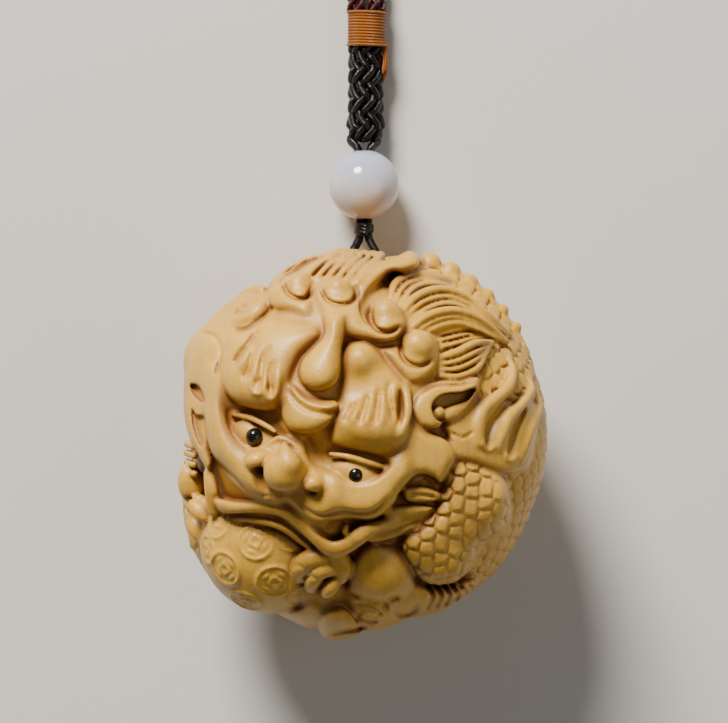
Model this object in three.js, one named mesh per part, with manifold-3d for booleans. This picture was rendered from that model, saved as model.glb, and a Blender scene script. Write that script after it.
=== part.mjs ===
import * as THREE from "three";
import { mergeVertices } from "three/addons/utils/BufferGeometryUtils.js";
import Module from "manifold-3d";

// Sizes in millimetres. +Z is up, +Y runs from the chin to the crown and on along the lanyard.
const figureHeight = 43.7;
const eyeDiameter = 1.9;
const eyeProud = 0.45;
const cordDiameter = 1.0;
const tunnelBore = 1.9;
const tunnelSpread = 3.8;
const knotDiameter = 2.4;
const knotLength = 1.9;
const knotAway = 2.7;
const beadDiameter = 8.0;
const beadBore = 2.9;
const forkLength = 5.2;
const braidWidth = 4.1;
const braidLength = 10.2;
const wrapDiameter = 4.8;
const wrapLength = 4.4;
const handleDiameter = 2.2;
const handleReach = 56;
const handleWidth = 17;
const gap = 0.3;

// The carving is written for a figure 43.7 high and scaled to the height above.
const unit = figureHeight / 43.7;
// The curled body is nearly an egg; every carved form is placed by its lift over this egg.
const egg = { x: 19.9, y: 20.4, z: 16.3, mid: 15.8 };
// Forms that reach round the edge of the egg fade out below this height.
const shoulder = egg.mid + 3;
const fade = 0.5;
const heart = { x: -0.5, y: 0.5, z: 16 };

const clamp = (v, lo, hi) => Math.min(Math.max(v, lo), hi);
const softMin = (a, b, k) => Math.min(a, b) - Math.max(k - Math.abs(a - b), 0) ** 2 / (4 * k);

// The point over (x, y) that stands `lift` off the egg, on the face side (1) or the back (-1).
function on(x, y, lift = 0, side = 1) {
  const s = 1 - (x / (egg.x + lift)) ** 2 - (y / (egg.y + lift)) ** 2;
  return [x, y, egg.mid + side * (egg.z + lift) * Math.sqrt(Math.max(s, 0))];
}

// How far a point stands off the egg.
function liftOf(x, y, z) {
  const a = x / egg.x, b = y / egg.y, c = (z - egg.mid) / egg.z;
  const near = Math.hypot(a, b, c);
  const slope = Math.hypot(a / egg.x, b / egg.y, c / egg.z);
  return slope > 1e-9 ? (near * (near - 1)) / slope : -egg.z;
}

const forms = [];
// The facets are about a millimetre wide, so no edge of a form is sharper than this.
const softest = 0.8;
const add = (form, blend = 0.5) => forms.push({ ...form, blend: Math.max(blend, softest), cut: false });
const cut = (form, blend = 0.3) => forms.push({ ...form, blend: Math.max(blend, softest), cut: true });

// An ellipsoid with middle c, unit axes u, v, n and radii r.
function ellipsoid(c, u, v, n, r) {
  const reach = [0, 1, 2].map((k) => Math.hypot(u[k] * r[0], v[k] * r[1], n[k] * r[2]));
  return {
    lo: c.map((m, k) => m - reach[k]),
    hi: c.map((m, k) => m + reach[k]),
    at(x, y, z) {
      const dx = x - c[0], dy = y - c[1], dz = z - c[2];
      const a = (dx * u[0] + dy * u[1] + dz * u[2]) / r[0];
      const b = (dx * v[0] + dy * v[1] + dz * v[2]) / r[1];
      const e = (dx * n[0] + dy * n[1] + dz * n[2]) / r[2];
      const near = Math.hypot(a, b, e);
      const slope = Math.hypot(a / r[0], b / r[1], e / r[2]);
      return slope > 1e-9 ? (near * (near - 1)) / slope : -Math.min(...r);
    },
  };
}

// A big mass, square to the axes.
const mass = (x, y, z, rx, ry, rz) => ellipsoid([x, y, z], [1, 0, 0], [0, 1, 0], [0, 0, 1], [rx, ry, rz]);

// A swelling on the egg: radii to the right (turned by some degrees), upwards and outwards.
function lobe(x, y, lift, rx, ry, rz, turn = 0, side = 1) {
  const c = on(x, y, lift, side);
  const n = new THREE.Vector3(c[0] / egg.x ** 2, c[1] / egg.y ** 2, (c[2] - egg.mid) / egg.z ** 2);
  n.normalize();
  const t = (turn * Math.PI) / 180;
  const u = new THREE.Vector3(Math.cos(t), Math.sin(t), 0);
  u.addScaledVector(n, -u.dot(n)).normalize();
  const v = new THREE.Vector3().crossVectors(n, u);
  return ellipsoid(c, u.toArray(), v.toArray(), n.toArray(), [rx, ry, rz]);
}
const knob = (x, y, lift, r, side = 1) => lobe(x, y, lift, r, r, r, 0, side);

// Points of a smooth line through the given ones.
function smooth(points, spans, closed) {
  const n = points.length, path = [];
  const at = (i) => (closed ? points[(i + n) % n] : points[clamp(i, 0, n - 1)]);
  for (let i = 0; i < (closed ? n : n - 1); i++) {
    const [a, b, c, d] = [at(i - 1), at(i), at(i + 1), at(i + 2)];
    for (let s = i || closed ? 1 : 0; s <= spans; s++) {
      const t = s / spans;
      path.push(b.map((_, k) => b[k] + 0.5 * t * (c[k] - a[k]
        + t * (2 * a[k] - 5 * b[k] + 4 * c[k] - d[k] + t * (3 * b[k] - a[k] - 3 * c[k] + d[k])))));
    }
  }
  return path;
}

// A round strand through points [x, y, lift, radius].
function strand(points, side = 1) {
  const path = smooth(points.map(([x, y, lift, r]) => [...on(x, y, lift, side), r]), 6, false);
  return {
    lo: [0, 1, 2].map((k) => Math.min(...path.map((q) => q[k] - q[3]))),
    hi: [0, 1, 2].map((k) => Math.max(...path.map((q) => q[k] + q[3]))),
    at(x, y, z) {
      let best = Infinity;
      for (let i = 1; i < path.length; i++) {
        const a = path[i - 1], b = path[i];
        const ex = b[0] - a[0], ey = b[1] - a[1], ez = b[2] - a[2];
        const fx = x - a[0], fy = y - a[1], fz = z - a[2];
        const t = clamp((fx * ex + fy * ey + fz * ez) / (ex * ex + ey * ey + ez * ez + 1e-12), 0, 1);
        const away = Math.sqrt((fx - t * ex) ** 2 + (fy - t * ey) ** 2 + (fz - t * ez) ** 2);
        best = Math.min(best, away - a[3] - t * (b[3] - a[3]));
      }
      return best;
    },
  };
}

// Strands side by side between a first and a last one.
function lock(first, last, count, blend = 0.25, side = 1) {
  for (let i = 0; i < count; i++) {
    const t = i / (count - 1);
    add(strand(first.map((p, j) => p.map((v, k) => v + t * (last[j][k] - v))), side), blend);
  }
}

// Signed distance to a smooth closed outline, soft along the middle so that a pad gets no crease there.
function outline(points) {
  const path = smooth(points, 4, true);
  const lo = [0, 1].map((k) => Math.min(...path.map((q) => q[k])));
  const hi = [0, 1].map((k) => Math.max(...path.map((q) => q[k])));
  function at(x, y) {
    let best = Infinity, pull = 0, inside = false;
    for (let i = 0, j = path.length - 1; i < path.length; j = i++) {
      const [ax, ay] = path[j], [bx, by] = path[i];
      const ex = bx - ax, ey = by - ay, long = ex * ex + ey * ey + 1e-12;
      const t = clamp(((x - ax) * ex + (y - ay) * ey) / long, 0, 1);
      const away = (x - ax - t * ex) ** 2 + (y - ay - t * ey) ** 2;
      best = Math.min(best, away);
      pull += Math.sqrt(long) / (away * away + 1e-9);
      if (ay > y !== by > y && x < ax + ((y - ay) / ey) * ex) inside = !inside;
    }
    const edge = Math.sqrt(best), t = Math.min(edge / 0.9, 1);
    return inside ? -(edge + t * t * (3 - 2 * t) * (Math.cbrt(Math.PI / 2 / pull) - edge)) : edge;
  }
  return { lo, hi, at };
}

// A raised pad with that outline as the face is seen, its top `height` off the egg and its edge rounded.
function pad(points, height, round = 1) {
  const line = outline(points);
  return {
    lo: [...line.lo, shoulder - height / fade - 4],
    hi: [...line.hi, egg.mid + egg.z + height],
    at(x, y, z) {
      const low = Math.max(shoulder - z, 0) * fade;
      return -softMin(-line.at(x, y), height - low - liftOf(x, y, z), round);
    },
  };
}

// The same outline sunk to `floor` off the egg.
function hollow(points, floor, round = 0.6) {
  const line = outline(points);
  return {
    lo: [...line.lo, egg.mid],
    hi: [...line.hi, egg.mid + 2 * egg.z],
    at: (x, y, z) => -softMin(-line.at(x, y), liftOf(x, y, z) - floor, round),
  };
}
const ring = (x, y, r) => [0, 1, 2, 3, 4, 5, 6, 7].map((i) => [
  x + r * Math.cos((i * Math.PI) / 4), y + r * Math.sin((i * Math.PI) / 4)]);

// Distance to the carving: the forms are joined and cut in the order of the list.
function distance(x, y, z) {
  let d = Infinity;
  for (const f of forms) {
    const bx = Math.max(f.lo[0] - x, x - f.hi[0], 0);
    const by = Math.max(f.lo[1] - y, y - f.hi[1], 0);
    const bz = Math.max(f.lo[2] - z, z - f.hi[2], 0);
    const reach = f.cut ? f.blend - d : f.blend + d;
    if (reach <= 0 || bx * bx + by * by + bz * bz > reach * reach) continue;
    d = f.cut ? -softMin(-d, f.at(x, y, z), f.blend) : softMin(d, f.at(x, y, z), f.blend);
  }
  return Math.max(d, -z);
}

// The curled body with its raised spine, the coin ball, the haunch, the small beast and the head.
add(mass(0.6, 1.2, 15.8, 19.7, 19.7, 16.3));
add(strand([[4.4, 19.6, -0.4, 1.3], [7.6, 19, -0.4, 1.5], [10.6, 17.6, -0.4, 1.6],
  [13.2, 15.6, -0.4, 1.5], [15.6, 12.6, -0.6, 1.3], [17.4, 9.4, -0.8, 1.2]]), 0.8);
add(mass(-10.2, -10.4, 20.2, 8, 8, 8.2), 0.3);
add(pad([[9.4, -1.3], [12.4, -1.6], [14.4, -3], [15.7, -4.9], [16.2, -7.2], [15.2, -9.4],
  [13.3, -10.6], [12.5, -11.5], [11.9, -13.2], [10.2, -14.7], [8.2, -15.1], [6.4, -14.4],
  [4.9, -12.6], [4.1, -11], [4.4, -9.6], [6, -8.2], [7.6, -6.6], [8.4, -4.4]], 1.9, 2.4), 0.3);
add(lobe(12.2, -5.2, -1.4, 3.6, 3.9, 3.7), 0.8);
add(lobe(8.3, -11.2, -1.5, 3.6, 3.6, 3.6), 0.8);
add(pad([[-1.2, -12.4], [0.6, -10.4], [3.4, -10.8], [4.6, -12.6], [5.8, -14.8], [9, -15.1],
  [11.8, -14.4], [12.7, -15.4], [11.4, -16.9], [9, -18.2], [6, -18.9], [4.9, -19.1], [2, -20.4],
  [-1.2, -20.7], [-2.4, -18.5], [-1.9, -15.5]], 0.9, 1.6), 0.3);
add(lobe(2, -13.4, -1.4, 3.5, 4, 3.2), 0.6);
add(pad([[-4.7, -18.5], [-4.9, -20.8], [-4.1, -21.7], [-3, -21.8], [-1.6, -21.2], [-0.4, -20.6],
  [-0.8, -18.8], [-2.6, -17.4]], 2, 1.5), 0.3);
add(pad([[-9.8, -18.4], [-7.4, -17.6], [-5.6, -17.2], [-4.3, -18], [-4.2, -19.6], [-5.2, -20.3],
  [-6.6, -20.3], [-7.9, -19.6]], 1.3, 1.2), 0.3);
add(mass(-10, -6.5, 14, 10.2, 11, 9), 1);
add(mass(5, -5, 15.5, 13, 13, 11), 1);
add(mass(-8.2, 6.8, 18.5, 11.8, 11.4, 13.2), 0.6);
add(mass(-3, 12.5, 18, 8.6, 9.2, 12.6), 1);
add(mass(-6.5, -1.2, 20, 10.6, 9, 14.2), 1);
add(mass(0.4, -2.4, 22, 6.6, 6, 12), 1);
add(mass(-4.6, -6.8, 23, 6.3, 4.4, 10), 1);

// Temple and cheek band on the left.
add(lobe(-17.3, 10.2, 0.2, 3, 4.4, 2.6, 20), 0.8);
add(pad([[-16.9, 9], [-17.5, 4.6], [-17.3, 2], [-16.6, -0.5], [-15, -2.3], [-13.8, -3.9],
  [-12.3, -5], [-10.6, -5.6], [-9, -5.5], [-9.6, -4.4], [-11.4, -3.8], [-12.2, -1.8], [-13.3, 0.2],
  [-14.5, 2.2], [-15.1, 4.6], [-15.3, 7.4]], 4.6, 1.6), 0.7);

// Eye sockets, each with a swelling for the inlaid bead.
cut(hollow([[-14.6, 4.2], [-12.2, 3.9], [-10, 3], [-8.4, 1.6], [-9.4, 0.6], [-10.8, 0.2],
  [-12.2, -0.5], [-13.4, 0.5], [-14.5, 2.2]], 2, 1), 0.3);
add(lobe(-12.1, 1.6, 1, 2.1, 1.8, 1.8, -20), 0.25);
cut(hollow([[-4.4, 0.4], [-2.2, -0.1], [0.4, -0.7], [2.6, -1.4], [2.9, -2.4], [1.4, -3.8],
  [-0.4, -4.3], [-2.2, -3.6], [-3.8, -2.6], [-5.6, -2], [-6.4, -0.4], [-6.2, 1.2]], 1.5, 1.2), 0.4);
add(lobe(-1, -2.3, 0.6, 2.7, 1.9, 2, -20), 0.35);
cut(hollow([[-8.9, 2.2], [-6, 2], [-3.6, 2.4], [-3.9, 0.2], [-5.4, -0.8], [-7, 0.2],
  [-8.2, 1]], 2.2, 1), 0.3);

// Nose with its wings and nostrils.
add(lobe(-8.6, -2.5, 4.6, 2.25, 2.3, 2.3), 0.35);
add(lobe(-8.6, -0.9, 4.9, 1.4, 1.4, 1.5), 0.6);
add(lobe(-11.3, -1.35, 3.6, 1.45, 1.15, 1.7), 0.3);
add(lobe(-5.4, -3.7, 4, 1.2, 1.1, 1.5), 0.3);
cut(strand([[-11.4, -2.2, 5.2, 0.7], [-11.2, -3.4, 4.9, 0.8], [-10.6, -4.3, 4.6, 0.6]]), 0.4);
cut(strand([[-9.8, -4.7, 4.8, 0.5], [-8.2, -5, 5, 0.7], [-6.2, -5.2, 4.8, 0.6]]), 0.4);

// Upper lip with the fold beside the nose, the mouth, and the lower lip.
add(pad([[-9.3, -5.5], [-8.4, -5.3], [-7.5, -6.1], [-6.2, -7.3], [-4.8, -7.9], [-3.4, -7.6],
  [-1.5, -7.3], [0.3, -7.5], [1.6, -7.1], [3, -5.8], [4, -4.2], [5.2, -2.7], [4.6, -1], [2.9, -2.2],
  [1.4, -4], [-0.8, -4.9], [-2.4, -4], [-3.4, -3.2], [-4.2, -4.8], [-6, -5.7],
  [-8, -5]], 3.7, 1.6), 0.9);
add(lobe(-3.2, -4.8, 2.4, 1, 1.9, 1.6, 10), 0.9);
cut(strand([[-16.2, -4.9, 2, 0.4], [-14.2, -5.2, 2.6, 0.8], [-12.3, -5.7, 3, 0.6],
  [-10, -6.1, 3.4, 0.5], [-8.7, -5.9, 3.4, 0.5], [-7.4, -6.9, 3.2, 0.5], [-5.6, -8.2, 3, 0.5],
  [-3.8, -8.2, 2.8, 0.55], [-1.5, -8, 2.6, 0.6], [0.8, -8, 2.2, 0.6], [2.6, -7, 2, 0.55],
  [4.2, -5.2, 1.8, 0.5]]), 0.2);
cut(hollow([[-4, -8.2], [-2.6, -7.7], [-0.6, -7.9], [-0.9, -9.2], [-2, -9.9], [-3.4, -9.5]], 1), 0.2);
add(strand([[-15.9, -5.9, 1.6, 0.7], [-14, -6.25, 2.2, 0.8], [-12, -6.35, 2.5, 0.8],
  [-10, -6.6, 2.6, 0.75], [-8.6, -7, 2.7, 0.75], [-6.6, -8.5, 2.4, 0.85], [-4.9, -9.9, 2, 0.95],
  [-3.4, -10.6, 1.8, 0.95], [-2, -10.5, 1.7, 0.9], [-0.7, -9.7, 1.6, 0.8],
  [0.3, -8.8, 1.4, 0.7]]), 0.3);

// The brows, the plate between them and the drop that hangs from the brow.
add(pad([[-14.6, 12.6], [-12.6, 13.4], [-10.5, 14.4], [-8, 14.2], [-5.6, 13.7], [-4.5, 12.5],
  [-5.3, 11.3], [-6.6, 10], [-7.4, 8.5], [-8, 6.6], [-8.7, 4.9], [-10.2, 4.2], [-12.6, 4.5],
  [-14.6, 5.5], [-15.6, 7.4], [-15.5, 10]], 5.6, 3), 0.3);
add(pad([[-2.4, 9.4], [-1.9, 10.9], [-0.8, 11.4], [0.6, 11.1], [2.2, 9.9], [3.5, 8.4], [4.7, 6.9],
  [5, 4.5], [4.9, 2], [4.1, 0.1], [2.2, -0.8], [0, -0.3], [-2.2, 0.1], [-3.6, 0.7], [-3.8, 2],
  [-3.2, 3.6], [-3.4, 5.6], [-2.9, 7.4]], 3.9, 2.4), 0.3);
add(lobe(-0.2, 9.2, 1.9, 1.9, 1.9, 2.9), 1.2);
add(lobe(0.5, 2.6, 2.3, 3.6, 2.5, 2.9, -10), 1.2);
add(pad([[-8.7, 6.6], [-7.6, 6.2], [-6.6, 4.8], [-5, 4.2], [-3.2, 4.4], [-3, 3.5], [-4.2, 2.3],
  [-6, 1.7], [-7.8, 2], [-8.7, 3.1], [-9, 4.8]], 5, 1.8), 0.3);
add(pad([[-4.2, 14.6], [-4.4, 12.4], [-5.6, 11], [-6.7, 9.8], [-7.1, 8.3], [-6.6, 7], [-5.3, 6.3],
  [-3.9, 6.5], [-2.9, 7.4], [-2.5, 8.8], [-2.4, 11], [-2, 14.6]], 6.2, 2.4), 0.2);

// Scrolls of the horns, each round a ball.
add(pad([[-10.6, 16.8], [-10.1, 15.2], [-8.2, 14.7], [-6.2, 14.1], [-5.4, 15.2], [-5.6, 17],
  [-5.8, 18.6], [-7.2, 19.5], [-8.8, 19.2], [-10, 18.2]], 5.2, 2.4), 0.25);
cut(hollow(ring(-7.3, 17.6, 1.75), 3.4), 0.25);
add(knob(-7.15, 18, 3.7, 1.5), 0.1);
add(pad([[-6, 17.2], [-5.3, 15.3], [-4.6, 13.8], [-3.2, 12.6], [-0.5, 11.9], [2.2, 11.5],
  [3.9, 12.2], [4.6, 13.8], [3.8, 15.6], [2, 15.6], [0.6, 14], [-0.2, 15.8], [-1.2, 17.6],
  [-2.6, 18.7], [-4.6, 18.6]], 4.9, 2), 0.4);
cut(hollow(ring(-2.8, 17, 1.7), 3.2), 0.25);
add(lobe(-2.8, 17.35, 3.5, 1.55, 1.3, 1.5), 0.1);
add(pad([[-2.2, 18.6], [-1, 17], [-0.2, 15.6], [0.9, 17.2], [2.8, 19.2], [4.4, 19.3], [5.9, 19.9],
  [6.2, 21.1], [5, 21.8], [3.2, 20.9], [1.2, 20.3], [-0.6, 19.6]], 3.6, 1.6), 0.3);
cut(strand([[0.4, 14.2, 3.8, 0.4], [0, 15.4, 3.4, 0.65], [0.9, 16.9, 3.2, 0.65],
  [2.4, 18.3, 2.6, 0.6], [3.2, 19.1, 2, 0.45]]), 0.2);
cut(hollow(ring(2.3, 14.35, 1.95), 2.6), 0.25);
add(knob(2.4, 14.65, 3, 1.75), 0.1);
add(pad([[1.9, 10.9], [3, 9.2], [4.1, 7.9], [5.1, 7.1], [6.5, 7.4], [7.6, 8.6], [8.1, 10.3],
  [7.9, 12], [5.8, 12.6], [4, 11.4]], 3.5, 1.6), 0.3);
cut(hollow(ring(5.75, 10.85, 2), 1.8), 0.25);
add(knob(5.85, 11.15, 2.5, 1.85), 0.1);
add(pad([[-14.9, 13.5], [-14.2, 12.8], [-12.9, 13.2], [-11.4, 14.1], [-10.4, 15], [-10.4, 16.6],
  [-11.4, 17.6], [-12.6, 17.3], [-13.6, 16.6], [-14.4, 15.2]], 3.6, 1.6), 0.25);

// Locks of the mane over the crown and down the right side, each lock one broad ridge.
lock([[-5.6, 19, 1.6, 1.2], [-4.1, 20.4, 0.8, 1.1], [-2.6, 21.1, 0.2, 0.8]], [[-1.2, 18.6, 1.7, 1.2],
  [0.3, 20, 0.8, 1.1], [1.4, 20.8, 0.2, 0.8]], 3);
add(strand([[3.4, 16.1, 1.5, 0.9], [4.4, 17.6, 1.4, 1.1], [6, 18.4, 1.1, 1.1], [8.4, 18.4, 0.8, 0.9],
  [11.3, 17.5, 0.5, 0.4]]));
add(strand([[4.6, 14.4, 1.8, 0.9], [6.3, 15.9, 1.8, 1.3], [8.8, 16.6, 1.6, 1.35],
  [11.4, 15.8, 1.4, 1.1], [13.8, 14, 1.2, 0.9], [16.2, 12.4, 0.8, 0.4]]));
add(strand([[6.1, 13.1, 1.5, 0.8], [8, 14, 1.6, 1.1], [10.3, 14.3, 1.5, 1.1], [12.7, 13.4, 1.4, 0.9],
  [15.7, 11.6, 1, 0.4]]));
add(strand([[7.8, 11.7, 0.4, 0.8], [9.8, 12.2, 0.5, 0.9], [11.6, 12.5, 0.6, 0.8],
  [13.3, 12.3, 0.7, 0.4]]));
lock([[8.3, 9.6, 1.2, 1], [10.2, 10, 1.3, 1.1], [12.2, 11, 1.3, 0.9], [14.1, 11.6, 0.9, 0.4]],
  [[8.4, 8.2, 1, 1], [10.2, 8.2, 1, 1.1], [12.2, 9.3, 1, 0.9], [13.6, 11, 0.8, 0.4]], 2);

// The right ear with its cup, and the jowl with the hollow under it.
add(pad([[5, 4.3], [5.6, 5.7], [6.6, 6.8], [8.2, 7.35], [10.3, 7.3], [12.3, 7.8], [12.6, 7],
  [12.3, 6.1], [11.4, 4.9], [10.2, 3.7], [8.9, 3.2], [7.8, 2.2], [6.3, 2.4],
  [5.4, 3.3]], 2.7, 1.2), 0.3);
cut(hollow([[7.3, 4.6], [7.7, 5.5], [8.8, 6], [10.5, 6.1], [12.1, 6.2], [11.2, 5.1], [9.9, 4.2],
  [8.8, 3.6], [8, 3.2], [7.4, 3.7]], 0.8, 0.5), 0.15);
add(pad([[4.7, 3.8], [5.6, 2.9], [7, 1.9], [8.7, 1.1], [9.6, 0.1], [9.9, -1], [9.3, -2.3],
  [8.3, -3.7], [7.4, -3.1], [6.3, -2.75], [5.3, -3.1], [4.3, -3.9], [4, -1.8],
  [4.3, 1]], 2.6, 1.2), 0.3);
cut(hollow([[4.3, -4.1], [5.4, -3], [6.4, -2.8], [7.6, -3.2], [8.3, -4.2], [7.6, -5.8], [6, -6.2],
  [4.4, -5.9], [3.6, -5.2]], 0.2), 0.2);
add(pad([[4.5, -4], [6.4, -4.3], [8.1, -4.9], [8.2, -5.5], [6.6, -5.7], [4.8, -5.4]], 1.5, 0.7), 0.3);
add(pad([[2.2, -6.7], [4.2, -6.2], [7.2, -6.3], [7.2, -6.9], [5, -7.4], [2.6, -7.6]], 1.4, 0.8), 0.3);
add(pad([[0.2, -9], [2, -8.2], [4.6, -7.6], [7, -7], [5.6, -8.6], [3.6, -9.6],
  [0.8, -10.2]], 1.2, 1), 0.4);

// Flame strands over the flank on their plate, and the knobs of the spine.
add(pad([[9.6, -0.9], [12, -1.6], [13.6, -2.4], [15.2, -2.9], [16.6, -2.6], [17.8, -1.2],
  [18.6, 1.6], [19, 4.4], [17.6, 4.6], [15.6, 3], [13.4, 4.6], [11.8, 2.6], [10, 1.4]], 0.7, 0.8), 0.4);
add(strand([[15.6, 10, 0.2, 0.6], [16, 8, 0.5, 0.9], [15.2, 6, 0.7, 1], [13.6, 4.6, 0.7, 1.1],
  [12.6, 2.6, 0.5, 1]]));
add(strand([[18.1, 7.2, 0.2, 0.6], [17.6, 5, 0.6, 1], [16.2, 2.9, 0.7, 1.1], [15, 0.4, 0.5, 1]]));
add(lobe(7.3, 20.2, 0.2, 1.3, 1.25, 1.5), 0.25);
add(lobe(9.5, 19.2, 0.1, 1.25, 1.2, 1.5), 0.25);
add(lobe(11.5, 17.9, -0.1, 1.15, 1.15, 1.4), 0.25);

// The left ear, the toes below it, and the paw on the coin ball.
add(pad([[-17.3, 7.2], [-18.4, 7.6], [-19.6, 7.2], [-20, 5.2], [-19.8, 3], [-19.2, 1], [-18.4, -0.4],
  [-17.2, -2.4], [-16.6, -1.6], [-17.1, 0.4], [-17.2, 3]], 2.2, 1.2), 0.3);
cut(hollow([[-19.3, 4.4], [-18.6, 3.6], [-17.4, 3.4], [-17.3, 1.8], [-17.7, -0.4], [-18.4, 0.6],
  [-19, 2.4]], 1, 0.4), 0.15);
add(lobe(-18.7, -4, 0.8, 1.5, 2.3, 1.6, 8), 0.2);
add(lobe(-18.2, -7, 0.8, 1.7, 1.4, 1.5, -30), 0.2);
add(lobe(-17.4, -9.8, 0.8, 1.8, 1.5, 1.5, -25), 0.2);
add(strand([[-17, -2.8, 1.2, 0.7], [-16.7, -4.6, 1.3, 0.8], [-16.5, -6.8, 1.2, 0.7]]), 0.4);
add(strand([[-3.6, -11.9, 1, 1], [-5.6, -12, 1.9, 1.05], [-6.7, -12.8, 2.2, 1.05],
  [-7.2, -14.2, 2.1, 0.75]]), 0.2);
add(strand([[-3, -12.8, 0.9, 0.9], [-4.6, -13.4, 1.7, 1], [-5.3, -14.3, 1.9, 0.95],
  [-5.7, -15.5, 1.8, 0.7]]), 0.2);
add(strand([[-2.4, -13.6, 0.6, 0.8], [-3.4, -14.4, 1.2, 0.9], [-3.9, -15.2, 1.4, 0.85],
  [-4.5, -16.2, 1.3, 0.6]]), 0.2);

// The back: the mane, the spine running on, a hind leg with its paw, and the tail in flames.
lock([[-13.2, 14, 0, 1.4], [-14.8, 9, 0, 1.8], [-14.4, 4, 0, 1.6], [-12.6, -0.6, -0.2, 0.7]],
  [[3, 18.2, -0.4, 1.4], [0.6, 14.6, 0, 1.8], [-0.8, 10.6, 0, 1.5], [-3, 7.4, -0.2, 0.7]], 4, 0.8, -1);
add(strand([[16.6, 11, -0.8, 1.5], [16.8, 6.4, -0.6, 1.7], [15.4, 1.4, -0.6, 1.7],
  [12.8, -3, -0.6, 1.6], [9.6, -6.6, -0.6, 1.3]], -1), 1);
for (let i = 0; i < 6; i++) {
  const t = (i / 5) * 1.35 - 0.62, r = 1.7 - 0.08 * i;
  add(knob(1 + 16.4 * Math.cos(t), 3 - 15.2 * Math.sin(t), 0.1, r, -1), 0.8);
}
add(lobe(5, -13.2, -1.2, 5.4, 3.8, 2.8, -20, -1), 0.8);
add(lobe(-1.4, -16.2, -0.4, 3, 2, 2, 15, -1), 0.8);
add(strand([[8, -9, -0.2, 1.4], [2.4, -10.4, 0.2, 1.7], [-3.8, -10.4, 0.2, 1.5],
  [-8, -7, 0, 0.7]], -1), 0.8);
add(strand([[2.4, -12, 0, 1.3], [-4, -13.4, 0.2, 1.6], [-9, -12.4, 0, 1.2],
  [-12, -9.4, -0.2, 0.6]], -1), 0.8);

// The skin of the carving: rays from the heart of the figure, closer together on the face side, find
// the surface, and a few passes then spread the corners evenly over it.
const rayRings = 17;
const lean = 0.3;
const passes = 7;
// What would lie this close to the table is part of the flat spot that keeps the figure from rolling.
const flatBelow = 0.12;
function carving() {
  const sphere = new THREE.IcosahedronGeometry(1, rayRings);
  sphere.deleteAttribute("normal");
  sphere.deleteAttribute("uv");
  const skin = mergeVertices(sphere, 1e-5);
  const spots = skin.getAttribute("position");
  const ray = new THREE.Vector3();
  for (let i = 0; i < spots.count; i++) {
    ray.fromBufferAttribute(spots, i);
    ray.z += lean;
    ray.normalize();
    let far = 27;
    for (let step = 0; step < 60; step++) {
      const d = distance(heart.x + ray.x * far, heart.y + ray.y * far, heart.z + ray.z * far);
      if (d < 0.02) break;
      far -= Math.max(d * 0.85, 0.02);
    }
    spots.setXYZ(i, heart.x + ray.x * far, heart.y + ray.y * far, heart.z + ray.z * far);
  }
  const p = spots.array, corners = skin.index.array, e = 0.06;
  for (let pass = 0; pass < passes; pass++) {
    const sum = new Float64Array(p.length), ties = new Uint16Array(spots.count);
    for (let t = 0; t < corners.length; t += 3) {
      for (let k = 0; k < 3; k++) {
        const a = corners[t + k], b = corners[t + ((k + 1) % 3)];
        for (let c = 0; c < 3; c++) sum[3 * a + c] += p[3 * b + c];
        ties[a]++;
      }
    }
    for (let i = 0; i < spots.count; i++) {
      const q = [0, 1, 2].map((c) => 0.5 * (p[3 * i + c] + sum[3 * i + c] / ties[i]));
      for (let pull = 0; pull < 2 && pass < passes - 1; pull++) {
        const [x, y, z] = q, d = distance(x, y, z);
        const slope = [distance(x + e, y, z) - d, distance(x, y + e, z) - d, distance(x, y, z + e) - d];
        const steep = Math.hypot(...slope) || 1;
        for (let c = 0; c < 3; c++) q[c] -= (clamp(d, -0.8, 0.8) * slope[c]) / steep;
      }
      if (q[2] < flatBelow) q[2] = 0;
      for (let c = 0; c < 3; c++) p[3 * i + c] = q[c];
    }
  }
  return skin.scale(unit, unit, unit);
}

// Solids are joined and cut by the geometry library.
const library = await Module();
library.setup();
function solid(geometry) {
  const bare = new THREE.BufferGeometry();
  bare.setAttribute("position", geometry.getAttribute("position").clone());
  if (geometry.index) bare.setIndex(geometry.index.clone());
  const welded = mergeVertices(bare, 1e-5);
  return new library.Manifold(new library.Mesh({
    numProp: 3,
    vertProperties: Float32Array.from(welded.getAttribute("position").array),
    triVerts: Uint32Array.from(welded.index.array),
  }));
}
function surface(body) {
  const mesh = body.getMesh();
  const geometry = new THREE.BufferGeometry();
  geometry.setAttribute("position", new THREE.BufferAttribute(Float32Array.from(mesh.vertProperties), 3));
  geometry.setIndex(new THREE.BufferAttribute(Uint32Array.from(mesh.triVerts), 1));
  geometry.computeVertexNormals();
  return geometry;
}

// A tube along a smooth line through the points, with flat ends.
function tube(points, radius, sides, steps) {
  const line = new THREE.CatmullRomCurve3(points.map((p) => new THREE.Vector3(...p)));
  const section = new THREE.Shape();
  for (let i = 0; i < sides; i++) {
    const t = (2 * Math.PI * i) / sides;
    if (i) section.lineTo(radius * Math.cos(t), radius * Math.sin(t));
    else section.moveTo(radius, 0);
  }
  section.closePath();
  return new THREE.ExtrudeGeometry(section, { steps, extrudePath: line, bevelEnabled: false });
}

// A turned piece along +Y: its outline as [radius, place] pairs.
function turned(profile, sides) {
  return new THREE.LatheGeometry(profile.map(([r, y]) => new THREE.Vector2(r, y)), sides);
}
function moved(geometry, x, y, z) {
  return geometry.translate(x, y, z);
}

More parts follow.
